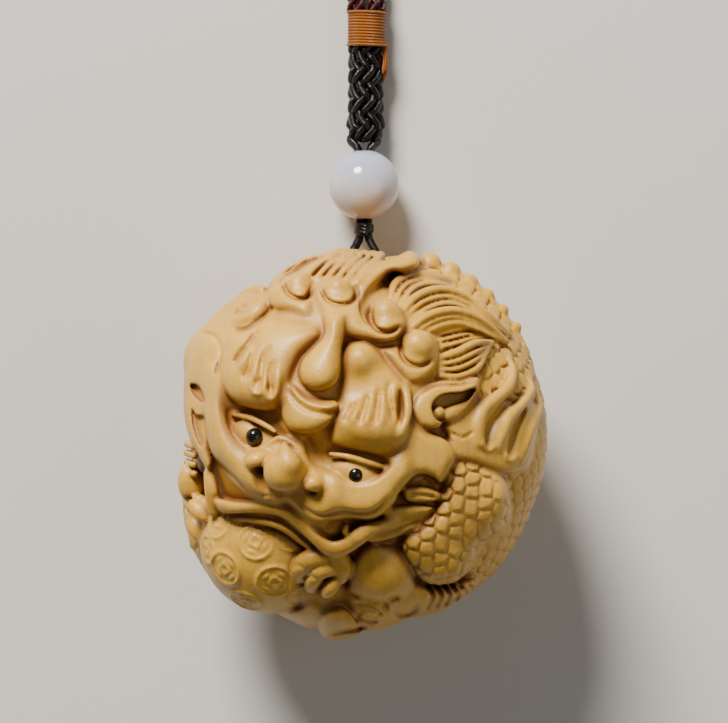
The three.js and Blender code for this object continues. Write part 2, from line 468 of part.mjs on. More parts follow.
const colours = {
  boxwood: { color: 0xd8b26a, roughness: 0.45 },
  eye: { color: 0x08070a, roughness: 0.08 },
  agate: { color: 0xe9e6e2, roughness: 0.15 },
  black_cord: { color: 0x17120f, roughness: 0.6 },
  gold_thread: { color: 0x9a6a24, roughness: 0.5 },
  maroon_cord: { color: 0x3a1414, roughness: 0.7 },
};
const model = new THREE.Group();
model.name = "pixiu_figure";
function piece(name, geometry, colour) {
  const material = new THREE.MeshStandardMaterial({ ...colours[colour] });
  material.name = colour;
  const mesh = new THREE.Mesh(geometry, material);
  mesh.name = name;
  model.add(mesh);
}

// The figure, with pockets for the eyes and a bent tunnel for the cord through the back of its crown.
const eyeRadius = eyeDiameter / 2;
const eyes = [on(-11.9, 1.35, 2.8), on(-0.9, -2.75, 2.6)].map((p) => p.map((v) => v * unit));
const behind = [0, 18.5 * unit, 8.2 * unit];
const bend = [0, 15.4 * unit, 11.4 * unit];
const half = tunnelSpread / 2;
const tunnel = [[-half - 1.2, behind[1] + 2.6, behind[2] - 2.4], [-half, behind[1], behind[2]], bend,
  [half, behind[1], behind[2]], [half + 1.2, behind[1] + 2.6, behind[2] - 2.4]];
let body = solid(carving()).subtract(solid(tube(tunnel, tunnelBore / 2, 12, 14)));
for (const [x, y, z] of eyes) {
  const pocket = new THREE.SphereGeometry(eyeRadius + gap, 12, 8);
  body = body.subtract(solid(moved(pocket, x, y, z - eyeProud)));
}
const skin = surface(body);
skin.computeBoundingBox();
const box = skin.boundingBox;
const middle = [(box.min.x + box.max.x) / 2, (box.min.y + box.max.y) / 2, box.min.z];
piece("figure", skin, "boxwood");
for (const [i, [x, y, z]] of eyes.entries()) {
  const eye = new THREE.IcosahedronGeometry(eyeRadius, 2);
  piece(["left_eye", "right_eye"][i], moved(eye, x, y, z - eyeProud), "eye");
}

// The lanyard, laid out from the crown along +Y; heights are over the table that all of it lies on.
const cord = cordDiameter / 2;
const crown = 21.9 * unit;
const beadRadius = beadDiameter / 2;
const knotY = crown + knotAway;
const beadY = knotY + knotLength / 2 + gap + Math.sqrt(beadRadius ** 2 - (beadBore / 2) ** 2);
const forkY = beadY + forkLength;
const wrapY = forkY + braidLength + gap;
const handleY = wrapY + wrapLength + gap;
const braidZ = braidWidth / 2 + 0.05;
const wrapZ = wrapDiameter / 2 + 0.05;
const knotZ = beadRadius;

const knot = new THREE.SphereGeometry(knotDiameter / 2, 12, 8);
knot.scale(1, knotLength / knotDiameter, 1);
piece("lower_knot", moved(knot, 0, knotY, knotZ), "black_cord");

const leg = cord + 0.1;
const under = knotY - knotLength / 2 - gap;
piece("hang_loop", tube([[-leg, under, knotZ + 0.1], [-half + 0.3, crown - 0.6, 5.4 * unit],
  [-half, behind[1], behind[2]], bend, [half, behind[1], behind[2]],
  [half - 0.3, crown - 0.6, 5.4 * unit], [leg, under, knotZ + 0.1]], cord, 8, 24), "black_cord");

const mouth = Math.asin(beadBore / beadDiameter);
const profile = [];
for (let i = 0; i <= 12; i++) {
  const t = mouth + ((Math.PI - 2 * mouth) * i) / 12;
  profile.push([beadRadius * Math.sin(t), -beadRadius * Math.cos(t)]);
}
profile.push([beadBore / 2, profile[0][1]]);
profile[profile.length - 2][0] = beadBore / 2;
piece("agate_bead", moved(turned(profile, 24), 0, beadY, beadRadius), "agate");

for (const side of [-1, 1]) {
  const line = [[side * leg, knotY + knotLength / 2 + gap, knotZ], [side * leg, beadY, beadRadius],
    [side * (leg + 0.1), beadY + beadRadius, beadRadius - 0.1],
    [side * (braidWidth / 2 - cord), forkY - gap, braidZ + 0.4]];
  piece(side < 0 ? "left_strand" : "right_strand", tube(line, cord, 8, 6), "black_cord");
}
const braid = [[0, 0], [0.36, 0], [0.46, 0.05], [0.55, 0.16], [0.5, 0.3], [0.5, 1], [0, 1]];
piece("black_braid", moved(turned(braid.map(([r, y]) => [r * braidWidth, y * braidLength]), 16),
  0.2, forkY, braidZ + 0.25), "black_cord");
piece("gold_wrap", moved(turned([[0, 0], [0.46, 0], [0.5, 0.12], [0.5, 0.88], [0.46, 1], [0, 1]]
  .map(([r, y]) => [r * wrapDiameter, y * wrapLength]), 20), 0.3, wrapY, wrapZ), "gold_thread");

// The handle: one round braid that leaves the wrap, turns about and comes back into it.
const reach = handleReach, wide = handleWidth / 2, low = handleDiameter / 2 + 0.1;
const apart = handleDiameter / 2 + 0.08;
piece("handle_loop", tube([[0.3 - apart, handleY, wrapZ], [-apart, handleY + 0.08 * reach, low + 0.5],
  [-0.3 * wide, handleY + 0.26 * reach, low], [-0.85 * wide, handleY + 0.58 * reach, low],
  [-0.8 * wide, handleY + 0.86 * reach, low], [0, handleY + reach, low],
  [0.8 * wide, handleY + 0.86 * reach, low], [0.85 * wide, handleY + 0.58 * reach, low],
  [0.3 * wide, handleY + 0.26 * reach, low], [apart + 0.3, handleY + 0.08 * reach, low + 0.5],
  [0.3 + apart, handleY, wrapZ]], handleDiameter / 2, 8, 34), "maroon_cord");

// The middle of the figure's underside is the origin.
for (const mesh of model.children) mesh.geometry.translate(-middle[0], -middle[1], -middle[2]);

export default model;
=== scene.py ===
# %% [markdown]
# # A carved boxwood pixiu on its lanyard
# The real object is a pendant the size of an egg: a guardian beast curled into a ball and carved from one
# piece of pale boxwood, with inlaid black eyes, hung from a cord with an agate bead, a braid, a thread
# wrap and a handle. Here it lies on its back on a pale table, and the camera looks straight down at its
# face.
#
# The solid model of the part is loaded first. It is the frame: every piece made below sits where the solid
# model has it, and only looks finer.

# %% Load the frame
import math

import bpy
import numpy as np
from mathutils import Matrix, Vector


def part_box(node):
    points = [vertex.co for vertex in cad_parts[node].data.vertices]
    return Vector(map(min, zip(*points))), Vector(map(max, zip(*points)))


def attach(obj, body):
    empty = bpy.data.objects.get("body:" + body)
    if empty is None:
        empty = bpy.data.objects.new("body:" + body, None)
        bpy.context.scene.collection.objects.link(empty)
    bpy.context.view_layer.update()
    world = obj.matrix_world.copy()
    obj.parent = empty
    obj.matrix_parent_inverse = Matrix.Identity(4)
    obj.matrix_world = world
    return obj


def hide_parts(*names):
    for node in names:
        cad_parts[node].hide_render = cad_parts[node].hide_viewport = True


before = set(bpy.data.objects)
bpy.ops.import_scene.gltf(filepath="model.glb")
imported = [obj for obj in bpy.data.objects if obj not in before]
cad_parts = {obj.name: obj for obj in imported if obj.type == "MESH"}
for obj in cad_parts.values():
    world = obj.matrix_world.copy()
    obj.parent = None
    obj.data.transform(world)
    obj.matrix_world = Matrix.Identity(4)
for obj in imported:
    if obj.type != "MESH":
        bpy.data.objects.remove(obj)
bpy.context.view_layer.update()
MM = 0.001
print(len(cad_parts), "nodes in the frame")


def middle_of(node):
    low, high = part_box(node)
    return (np.array(low) + np.array(high)) / 2 / MM


# %% [markdown]
# ## The carver's measures
# The curled body is nearly an egg. Every carved form is placed by where it is seen from the front and by
# its lift, the height of the surface over that egg, much as a carver measures from the blank. The left
# eye's place ties these measures to the solid model, so that both share one frame.

# %% The egg under the carving
EGG = np.array([19.9, 20.4, 16.3])
EGG_HEIGHT = 15.8
SHOULDER = EGG_HEIGHT + 3.0
EYE_RADIUS = 0.95
EYE_PROUD = 0.45
LEFT_EYE = (-11.9, 1.35, 2.8)


def on(x, y, lift=0.0, side=1):
    """The point over (x, y) that stands `lift` off the egg, on the face side (1) or the back (-1)."""
    left = 1 - (x / (EGG[0] + lift)) ** 2 - (y / (EGG[1] + lift)) ** 2
    return np.array([x, y, EGG_HEIGHT + side * (EGG[2] + lift) * math.sqrt(max(left, 0))])


def lift_of(p):
    """How far points stand off the egg."""
    q = (p - (0, 0, EGG_HEIGHT)) / EGG
    near = np.sqrt((q * q).sum(1))
    slope = np.sqrt(((q / EGG) ** 2).sum(1))
    return near * (near - 1) / np.maximum(slope, 1e-6)


SHIFT = middle_of("left_eye") - on(*LEFT_EYE) + (0, 0, EYE_PROUD)
SHIFT[2] = 0


def place(points):
    """From the carver's millimetres to the frame's metres."""
    return (np.asarray(points, float) + SHIFT) * MM


print("shift of the carver's measures in mm:", SHIFT.round(3))

# %% [markdown]
# ## Camera
# The photograph was taken nearly level, with the pendant hanging. The part lies down, so the camera looks
# straight down from 0.6 m, which gives the same view of the face. The lens follows from the photograph's
# scale of 9 pixels to a millimetre across its 728 pixels.

# %% Camera over the face
PHOTO_WIDTH = 728
PIXELS_TO_MM = 9.0
VIEW_WIDTH = PHOTO_WIDTH / PIXELS_TO_MM
VIEW_MIDDLE = (0.0, 9.5)
FACE_HEIGHT = 18.0
AWAY = 600.0
SENSOR = 36
camera = bpy.data.objects.new("camera", bpy.data.cameras.new("camera"))
bpy.context.scene.collection.objects.link(camera)
camera.data.sensor_width = SENSOR
camera.data.lens = SENSOR * AWAY / VIEW_WIDTH
camera.data.clip_start, camera.data.clip_end = 0.01, 5
camera.location = place([VIEW_MIDDLE[0], VIEW_MIDDLE[1], FACE_HEIGHT + AWAY])
bpy.context.scene.camera = camera
print(f"lens {camera.data.lens:.0f} mm, {AWAY:.0f} mm over the face")

# %% [markdown]
# ## Shared effects as node groups
# Several finishes need the same small effects, so each effect is a node group, built once. A group only
# puts out a mask or a colour that changes over the surface; the shader itself stays in each material. The
# small `put` adds a node and sets its values; the three helpers after it write arithmetic and mixes short.

# %% Nodes and arithmetic
def put(tree, kind, links=None, **values):
    node = tree.nodes.new(kind)
    for name, value in values.items():
        setattr(node, name, value)
    for socket, value in (links or {}).items():
        if isinstance(value, bpy.types.NodeSocket):
            tree.links.new(value, node.inputs[socket])
        else:
            node.inputs[socket].default_value = value
    return node


def maths(tree, operation, *values):
    """One step of arithmetic, on numbers or on what other nodes put out."""
    return put(tree, "ShaderNodeMath", dict(enumerate(values)), operation=operation).outputs[0]


def mixed(tree, share, a, b):
    """A number between a and b."""
    return put(tree, "ShaderNodeMix", {0: share, 2: a, 3: b}).outputs[0]


def mixed_colour(tree, share, a, b):
    return put(tree, "ShaderNodeMix", {0: share, 6: a, 7: b}, data_type="RGBA").outputs[2]


print("helpers: put, maths, mixed, mixed_colour")

# %% [markdown]
# `new_group` makes a group with named sockets and `use_group` puts one into a material. `new_material`
# sets the plain values of a material on the sockets of its own shader.

# %% Groups and materials
def new_group(name, inputs, outputs):
    group = bpy.data.node_groups.new(name, "ShaderNodeTree")
    for title, kind, value in inputs:
        socket = group.interface.new_socket(title, in_out="INPUT", socket_type=kind)
        socket.default_value = value
    for title, kind in outputs:
        group.interface.new_socket(title, in_out="OUTPUT", socket_type=kind)
    return group, put(group, "NodeGroupInput"), put(group, "NodeGroupOutput")


def use_group(tree, group, **values):
    node = put(tree, "ShaderNodeGroup", node_tree=group)
    for title, value in values.items():
        socket = node.inputs[title.replace("_", " ")]
        if isinstance(value, bpy.types.NodeSocket):
            tree.links.new(value, socket)
        else:
            socket.default_value = value
    return node


def new_material(name, **values):
    material = bpy.data.materials.new(name)
    material.use_nodes = True
    shader = material.node_tree.nodes["Principled BSDF"]
    for title, value in values.items():
        shader.inputs[title.replace("_", " ")].default_value = value
    return material, material.node_tree, shader


FLOAT = "NodeSocketFloat"
print("helpers: new_group, use_group, new_material")

# %% [markdown]
# ### Speckle
# Waxed wood and spun thread are never one even colour. This effect mixes a fine and a broad noise, in
# millimetres of the object itself, into one mask round 0.5. It is used for colour and for gloss.

# %% Speckle group
speckle, given, out = new_group(
    "Speckle",
    [("Fine size mm", FLOAT, 0.3), ("Broad size mm", FLOAT, 4.0), ("Fine share", FLOAT, 0.5)],
    [("Mask", FLOAT), ("Fine", FLOAT)])
where = put(speckle, "ShaderNodeTexCoord").outputs["Object"]
noises = []
for socket, detail in (("Fine size mm", 2.0), ("Broad size mm", 4.0)):
    scale = maths(speckle, "DIVIDE", 1 / MM, given.outputs[socket])
    noises.append(put(speckle, "ShaderNodeTexNoise",
                      {"Vector": where, "Scale": scale, "Detail": detail}).outputs["Fac"])
both = mixed(speckle, given.outputs["Fine share"], noises[1], noises[0])
speckle.links.new(both, out.inputs["Mask"])
speckle.links.new(noises[0], out.inputs["Fine"])
print("group", speckle.name, "has", len(speckle.nodes), "nodes")

# %% [markdown]
# ### Fibre
# Thread and cord are bundles of parallel fibres. The pieces below carry two numbers at each point, how far
# along the cord it is and how far round, and this effect draws fine slanting stripes from them.

# %% Fibre group
fibre, given, out = new_group(
    "Fibre", [("Count", FLOAT, 14.0), ("Twist per mm", FLOAT, 0.6)], [("Mask", FLOAT)])
along = put(fibre, "ShaderNodeAttribute", attribute_name="along").outputs["Fac"]
around = put(fibre, "ShaderNodeAttribute", attribute_name="around").outputs["Fac"]
turn = maths(fibre, "MULTIPLY", along, given.outputs["Twist per mm"])
turn = maths(fibre, "ADD", turn, around)
turn = maths(fibre, "MULTIPLY", turn, given.outputs["Count"])
turn = maths(fibre, "MULTIPLY", turn, 2 * math.pi)
wave = maths(fibre, "SINE", turn)
wave = maths(fibre, "MULTIPLY_ADD", wave, 0.5, 0.5)
fibre.links.new(wave, out.inputs["Mask"])
print("group", fibre.name, "has", len(fibre.nodes), "nodes")

# %% [markdown]
# ### Painted shade in the recesses
# The carving below stores at each point how deep in a recess it lies, from 0 to 1. This effect turns that
# number into a mask of painted shade, which darkens the recesses; it starts softly and is broken up a
# little by the speckle.

# %% Recess shade group
# A mask of painted shade: it darkens the recesses, where shade falls.
recess_shade, given, out = new_group(
    "Recess shade", [("Start", FLOAT, 0.12), ("Full", FLOAT, 0.75), ("Break up", FLOAT, 0.25)],
    [("Mask", FLOAT)])
depth = put(recess_shade, "ShaderNodeAttribute", attribute_name="recess").outputs["Fac"]
mottle = use_group(recess_shade, speckle, Fine_size_mm=0.35, Broad_size_mm=2.5, Fine_share=0.4).outputs["Mask"]
mottle = maths(recess_shade, "SUBTRACT", mottle, 0.5)
depth = maths(recess_shade, "MULTIPLY_ADD", mottle, given.outputs["Break up"], depth)
mask = put(recess_shade, "ShaderNodeMapRange", {"Value": depth, "From Min": given.outputs["Start"],
                                          "From Max": given.outputs["Full"]},
           interpolation_type="SMOOTHSTEP")
recess_shade.links.new(mask.outputs["Result"], out.inputs["Mask"])
print("group", recess_shade.name, "has", len(recess_shade.nodes), "nodes")

# %% [markdown]
# ## The carving as a distance
# A carving this deep, with scrolls, locks of hair and undercuts, is hard to push out of a plain mesh. So
# it is first described by a distance: a function that says how far any point in space is from the surface,
# negative inside the wood. Forms are joined and cut in order, each with a soft edge of its own width, just
# as a carver roughs out masses first and cuts lines last. Each form also says between which corners it has
# any effect, so that most of them can be skipped at most points. A mesh is made from it afterwards.

# %% Soft joins and the list of forms
carved = []


def soft_min(a, b, k):
    if k <= 0:
        return np.minimum(a, b)
    return np.minimum(a, b) - np.maximum(k - np.abs(a - b), 0) ** 2 / (4 * k)


def add(form, blend=0.5):
    carved.append({**form, "blend": blend, "kind": "add"})


def cut(form, blend=0.3):
    carved.append({**form, "blend": blend, "kind": "cut"})


def mark(form):
    """A shallow raised or sunk mark that follows whatever surface is there."""
    carved.append({**form, "blend": 0.0, "kind": "mark"})


print("0.2 and 0.3 joined over a width of 0.5 make", round(soft_min(0.2, 0.3, 0.5), 3))

# %% [markdown]
# ### Swellings
# Balls, bulbs and big masses are ellipsoids. A `mass` is square to the axes; a `lobe` is turned so that it
# grows out of the egg, which suits a cheek, a toe or the ball of a scroll.

# %% Ellipsoids
def ellipsoid(middle, axes, radii):
    middle, axes, radii = np.array(middle, float), np.array(axes, float), np.array(radii, float)
    reach = np.sqrt(((axes * radii[:, None]) ** 2).sum(0))

    def at(p):
        q = (p - middle) @ axes.T / radii
        near = np.sqrt((q * q).sum(1))
        slope = np.sqrt(((q / radii) ** 2).sum(1))
        return near * (near - 1) / np.maximum(slope, 1e-6)

    return {"low": middle - reach, "high": middle + reach, "at": at}


def mass(x, y, z, rx, ry, rz):
    return ellipsoid((x, y, z), np.eye(3), (rx, ry, rz))


def lobe(x, y, lift, rx, ry, rz, turn=0, side=1):
    middle = on(x, y, lift, side)
    out = (middle - (0, 0, EGG_HEIGHT)) / EGG ** 2
    out /= np.linalg.norm(out)
    u = np.array([math.cos(math.radians(turn)), math.sin(math.radians(turn)), 0.0])
    u -= out * (u @ out)
    u /= np.linalg.norm(u)
    return ellipsoid(middle, (u, np.cross(out, u), out), (rx, ry, rz))


def knob(x, y, lift, r, side=1):
    return lobe(x, y, lift, r, r, r, 0, side)


three = np.array([[3.0, 0, 0]])
print("3 mm from the middle of a ball of radius 2 the distance is", mass(0, 0, 0, 2, 2, 2)["at"](three)[0])

# %% [markdown]
# ### Strands and locks
# A lock of hair, a lip, a toe or a flame is a strand: a round rod that swells and tapers along a smooth
# line. A lock is several strands side by side, worked out between its first and its last one, so a whole
# sweep of mane takes two lines of numbers.

# %% Smooth lines and rods
def smooth_line(points, spans=8, closed=False):
    """A smooth line through the points, each of any number of values."""
    points = [np.array(p, float) for p in points]
    n = len(points)

    def pick(i):
        return points[i % n] if closed else points[min(max(i, 0), n - 1)]

    line = []
    for i in range(n if closed else n - 1):
        a, b, c, d = pick(i - 1), pick(i), pick(i + 1), pick(i + 2)
        for s in range(spans):
            t = s / spans
            line.append(b + 0.5 * t * (c - a + t * (2 * a - 5 * b + 4 * c - d
                                                    + t * (3 * b - a - 3 * c + d))))
    if not closed:
        line.append(points[-1])
    return np.array(line)


def rod(line):
    """A round rod along a line of x, y, z and radius."""
    start, end = line[:-1, :3], line[1:, :3]
    way = end - start
    long = (way * way).sum(1) + 1e-9
    r, grow = line[:-1, 3], np.diff(line[:, 3])

    def at(p):
        best = np.full(len(p), np.inf)
        for a, w, l, ra, g in zip(start, way, long, r, grow):
            q = p - a
            t = np.clip(q @ w / l, 0, 1)
            q -= t[:, None] * w
            np.minimum(best, np.sqrt((q * q).sum(1)) - ra - t * g, out=best)
        return best

    edge = line[:, 3:4]
    return {"low": (line[:, :3] - edge).min(0), "high": (line[:, :3] + edge).max(0), "at": at}


print("a line through three points gets", len(smooth_line([(0, 0), (2, 1), (4, 0)])), "points")

# %% Strands and locks
def strand(points, side=1, spans=8):
    return rod(smooth_line([[*on(x, y, lift, side), r] for x, y, lift, r in points], spans))


def lock(first, last, count, blend=0.25, side=1, groove=0.24):
    """Strands side by side, with a fine cut between each two."""
    first, last = np.array(first, float), np.array(last, float)
    for t in np.linspace(0, 1, count):
        add(strand(first + t * (last - first), side), blend)
    apart = np.linalg.norm((last - first)[:, :2], axis=1) / (count - 1)
    for t in (np.arange(count - 1) + 0.5) / (count - 1):
        middle = (first + t * (last - first))[:, :3]
        middle[:, 2] = np.clip((apart - 0.2) / 0.3, 0, 1)
        mark(scored(middle, np.clip(0.65 * apart.mean(), 0.45, 0.8), groove, side))


print("a strand on the egg's top reaches up to", strand([[0, 0, 0, 1], [4, 0, 0, 1]])["high"].round(1))

# %% [markdown]
# ### Pads and hollows
# A brow, an ear or a lip has a clear outline as the face is seen, with a rounded edge and a domed top. A
# pad has such an outline and a height; a hollow is the same outline sunk. Inside the outline the distance
# to it is smoothed, or every pad would get a sharp crease along its middle.

# %% Pads
def outline(points):
    line = smooth_line(points, 4, closed=True)
    start, end = np.roll(line, 1, axis=0), line
    way = end - start
    long = (way * way).sum(1) + 1e-9

    def at(p):
        x, y = p[:, 0:1], p[:, 1:2]
        qx, qy = x - start[:, 0], y - start[:, 1]
        t = np.clip((qx * way[:, 0] + qy * way[:, 1]) / long, 0, 1)
        away = (qx - t * way[:, 0]) ** 2 + (qy - t * way[:, 1]) ** 2
        edge = np.sqrt(away.min(1))
        pull = (np.sqrt(long) / (away * away + 1e-9)).sum(1)
        crosses = ((end[:, 1] > y) != (start[:, 1] > y)) & (
            x < start[:, 0] + (y - start[:, 1]) / np.where(way[:, 1] == 0, 1e-9, way[:, 1]) * way[:, 0])
        inside = crosses.sum(1) % 2 == 1
        t = np.minimum(edge / 0.9, 1)
        deep = edge + t * t * (3 - 2 * t) * (np.cbrt(math.pi / 2 / pull) - edge)
        return np.where(inside, -deep, edge)

    return line.min(0), line.max(0), at


def pad(points, height, roundness=1.0):
    low, high, across = outline(points)

    def at(p):
        sink = np.maximum(SHOULDER - p[:, 2], 0) * 0.5
        return -soft_min(-across(p), height - sink - lift_of(p), roundness)

    return {"low": np.array([*low, SHOULDER - 2 * height - 4]),
            "high": np.array([*high, EGG_HEIGHT + EGG[2] + height]), "at": at}


def hollow(points, floor, roundness=0.6):
    low, high, across = outline(points)
    return {"low": np.array([*low, EGG_HEIGHT]), "high": np.array([*high, EGG_HEIGHT + 2 * EGG[2]]),
            "at": lambda p: -soft_min(-across(p), lift_of(p) - floor, roundness)}


square = outline([[0, 0], [4, 0], [4, 4], [0, 4]])[2]
print("smoothed distance at the middle of a 4 mm square:", square(np.array([[2.0, 2.0]]))[0].round(2))

# %% [markdown]
# ### Marks
# The last cuts of the knife are shallow lines: comb cuts in a brow, the crease of a lid, a coin's rim.
# They follow the finished surface, so they aren't placed by lift: a mark just moves the surface in or out
# a little along a line seen from the front or the back. EVERYWHERE is a corner that lies beyond all the
# wood.

# %% Marked lines
EVERYWHERE = np.array([25.0, 25.0, 40.0])


def scored(points, width, depth, side=1):
    """A line cut `depth` deep (raised if negative) and `width` wide. A third number is a share of these."""
    line = smooth_line([[*p, 1][:3] for p in points], 6)
    swell, line = line[:, 2], line[:, :2]
    start, way = line[:-1], np.diff(line, axis=0)
    long = (way * way).sum(1) + 1e-9
    share = np.linspace(0, 1, len(line))

    def at(p):
        qx, qy = p[:, 0:1] - start[:, 0], p[:, 1:2] - start[:, 1]
        t = np.clip((qx * way[:, 0] + qy * way[:, 1]) / long, 0, 1)
        away = (qx - t * way[:, 0]) ** 2 + (qy - t * way[:, 1]) ** 2
        nearest = away.argmin(1)
        rows = np.arange(len(p))
        s = (share[nearest] + t[rows, nearest] * (share[1] - share[0]))
        taper = np.clip(np.minimum(s, 1 - s) * 5 + 0.25, 0, 1)
        facing = np.clip((p[:, 2] - EGG_HEIGHT) * side / 2, 0, 1)
        wide = np.maximum(swell[nearest], 1) * width / 2
        return -depth * swell[nearest] * taper * facing * np.exp(-away[rows, nearest] / wide ** 2)

    ends = (EGG_HEIGHT, EVERYWHERE[2]) if side > 0 else (-EVERYWHERE[2], EGG_HEIGHT)
    return {"low": np.array([*(line.min(0) - 1.5 * width), ends[0]]),
            "high": np.array([*(line.max(0) + 1.5 * width), ends[1]]), "at": at}


def tufts(width, depth, *lines):
    """Combed hair: one scored line for each tuft."""
    for line in lines:
        mark(scored(line, width, depth))


print("kinds of form: mass, lobe, knob, strand, lock, pad, hollow, scored, tufts")

# %% [markdown]
# ## Roughing out
# First the curled body with its raised spine. Its skin is covered with scales like a carp's, so they are
# marked before anything else is laid over it: rows of rounded scales, each standing up a little towards
# its free edge. The rows run round the ball like circles of latitude, and every second row is set over by
# half a scale. A slight unevenness, always the same, keeps them from looking stamped.

# %% Scales
BODY = (0.6, 1.2, EGG_HEIGHT)
POLE = np.array([0.25, 0.35, 0.9])
ROUND = 19.0
ROW = 0.8


def scale_height(across, along, size, height):
    """Height of a scaled skin, from each point's place next to the nine nearest scales' middles."""
    away = np.sort(np.sqrt(across ** 2 + along ** 2), axis=0)
    nearest = np.argmin(across ** 2 + along ** 2, axis=0)
    rise = np.take_along_axis(along, nearest[None], axis=0)[0] / size
    edge = np.clip((away[1] - away[0]) / (0.26 * size), 0, 1)
    return height * (edge * edge * (3 - 2 * edge) * (0.75 - 0.7 * rise) - 0.5)


def uneven(i, j, k):
    """A number between -0.5 and 0.5, always the same for the same scale."""
    return np.sin(12.9898 * i + 78.233 * j + 37.719 * k) * 0.5


print("the number for scale 1 of row 1 is", uneven(1, 1, 1).round(3))

# %% The body, its scales and its spine
def scaled_body(size, height):
    """Scales of one size, on circles of latitude round POLE; ROUND is the body's mean radius there."""
    pole = POLE / np.linalg.norm(POLE)
    east = np.cross((0, 1, 0), pole)
    east /= np.linalg.norm(east)
    north = np.cross(pole, east)

    def at(p):
        q = p - BODY
        q = q / np.maximum(np.sqrt((q * q).sum(1)), 1e-6)[:, None]
        lat, lon = np.arcsin(np.clip(q @ pole, -1, 1)), np.arctan2(q @ north, q @ east)
        row = np.floor(lat * ROUND / (ROW * size))
        us, vs = [], []
        for r in (row - 1, row, row + 1):
            lat_r = (r + 0.5) * ROW * size / ROUND
            count = np.maximum(np.round(2 * math.pi * ROUND * np.cos(lat_r) / size), 5)
            step = 2 * math.pi / count
            column = np.round(lon / step - 0.5 * (r % 2))
            for c in (column - 1, column, column + 1):
                c_in = c % count
                u = lon - (c + 0.5 * (r % 2) + 0.16 * uneven(r, c_in, 1)) * step
                us.append(u * ROUND * np.cos(lat))
                vs.append((lat - lat_r) * ROUND + 0.16 * size * uneven(r, c_in, 2))
        fade = np.clip((p[:, 2] - 1.0) / 1.5, 0, 1)
        return fade * scale_height(np.array(us), np.array(vs), size, height)

    return {"low": -EVERYWHERE, "high": EVERYWHERE, "at": at}


add(mass(*BODY, 19.7, 19.7, EGG[2]))
add(mass(-10, -6.5, 14, 10.2, 11, 9), 1)
add(mass(5, -5, 15.5, 13, 13, 11), 1)
add(strand([[3.4, 20.0, -0.5, 1.2], [7.4, 19, -0.4, 1.5], [10.6, 17.6, -0.4, 1.6], [13.2, 15.6, -0.4, 1.5],
            [15.6, 12.6, -0.6, 1.3], [17.4, 9.4, -0.8, 1.2]]), 0.8)
mark(scaled_body(1.95, 0.42))
print(len(carved), "forms so far")

# %% [markdown]
# The haunch is a second scaled form, laid over the body, with larger scales like shingles. They are marked
# inside its outline only, on rows that lean with the leg.

# %% The haunch
HAUNCH = [[9.4, -1.3], [12.4, -1.6], [14.4, -3], [15.7, -4.9], [16.2, -7.2], [15.2, -9.4], [13.3, -10.6],
          [12.5, -11.5], [11.9, -13.2], [10.2, -14.7], [8.2, -15.1], [6.4, -14.4], [4.9, -12.6],
          [4.1, -11], [4.4, -9.6], [6, -8.2], [7.6, -6.6], [8.4, -4.4]]


def scaled_patch(points, size, height, lean):
    low, high, across = outline(points)
    turn = math.radians(lean)

    def at(p):
        u = p[:, 0] * math.cos(turn) + p[:, 1] * math.sin(turn)
        v = p[:, 1] * math.cos(turn) - p[:, 0] * math.sin(turn)
        row = np.floor(v / (0.84 * size))
        us, vs = [], []
        for r in (row - 1, row, row + 1):
            column = np.round(u / size - 0.5 * (r % 2))
            for c in (column - 1, column, column + 1):
                us.append(u - (c + 0.5 * (r % 2) + 0.34 * uneven(r, c, 3)) * size)
                vs.append(v - (r + 0.5 + 0.3 * uneven(r, c, 4)) * 0.84 * size)
        inside = np.clip(-across(p) / 0.5, 0, 1) * np.clip((p[:, 2] - EGG_HEIGHT) / 2, 0, 1)
        return inside * scale_height(np.array(us), np.array(vs), size, height)

    return {"low": np.array([*low, EGG_HEIGHT]), "high": np.array([*high, EVERYWHERE[2]]), "at": at}


add(pad(HAUNCH, 1.9, 2.4), 0.3)
add(lobe(12.2, -5.2, -1.4, 3.6, 3.9, 3.7), 0.8)
add(lobe(8.3, -11.2, -1.5, 3.6, 3.6, 3.6), 0.8)
mark(scaled_patch(HAUNCH, 1.8, 0.28, 28))
print(len(carved), "forms so far")

# %% [markdown]
# The beast holds a ball heaped with old coins. Each coin has a raised rim, a raised square round its hole
# and four leaf-shaped strokes, one on each side of the square, which are only ornament and spell nothing.
# A coin is marked on the ball round its own outward direction, so coins near the rim are seen aslant, as
# in the photograph. A few more lie on the hidden side of the ball.

# %% The ball of coins
BALL = np.array([-10.2, -10.4, 20.2])
BALL_RADIUS = 8.0


def bump(distance, width):
    return np.exp(-(distance / width) ** 2)


def coin(x, y, r, turn, z_side=1):
    """A coin of radius r, seen at x, y on the front (1) or the back (-1) of the ball."""
    out = np.array([x, y, 0.0]) - BALL
    out[2] = z_side * math.sqrt(max(BALL_RADIUS ** 2 - out[0] ** 2 - out[1] ** 2, 0.5))
    out /= np.linalg.norm(out)
    middle = BALL + BALL_RADIUS * out
    u = np.cross((0, 1, 0.01), out)
    u /= np.linalg.norm(u)
    v = np.cross(out, u)
    c, s = math.cos(math.radians(turn)), math.sin(math.radians(turn))
    axes = np.array([c * u + s * v, c * v - s * u])

    def at(points):
        a, b = ((points - middle) @ axes.T).T
        far = np.hypot(a, b)
        p, q = np.abs(a + b) / math.sqrt(2), np.abs(a - b) / math.sqrt(2)
        rim = 0.24 * bump(far - (r - 0.18), 0.17)
        square = 0.2 * bump(np.maximum(p, q) - 0.25 * r, 0.15)
        leaf = np.minimum(np.hypot(1.3 * (p - 0.58 * r), 0.5 * q), np.hypot(1.3 * (q - 0.58 * r), 0.5 * p))
        return rim + square + 0.22 * bump(leaf, 0.24)

    return {"low": middle - r - 0.6, "high": middle + r + 0.6, "at": at}


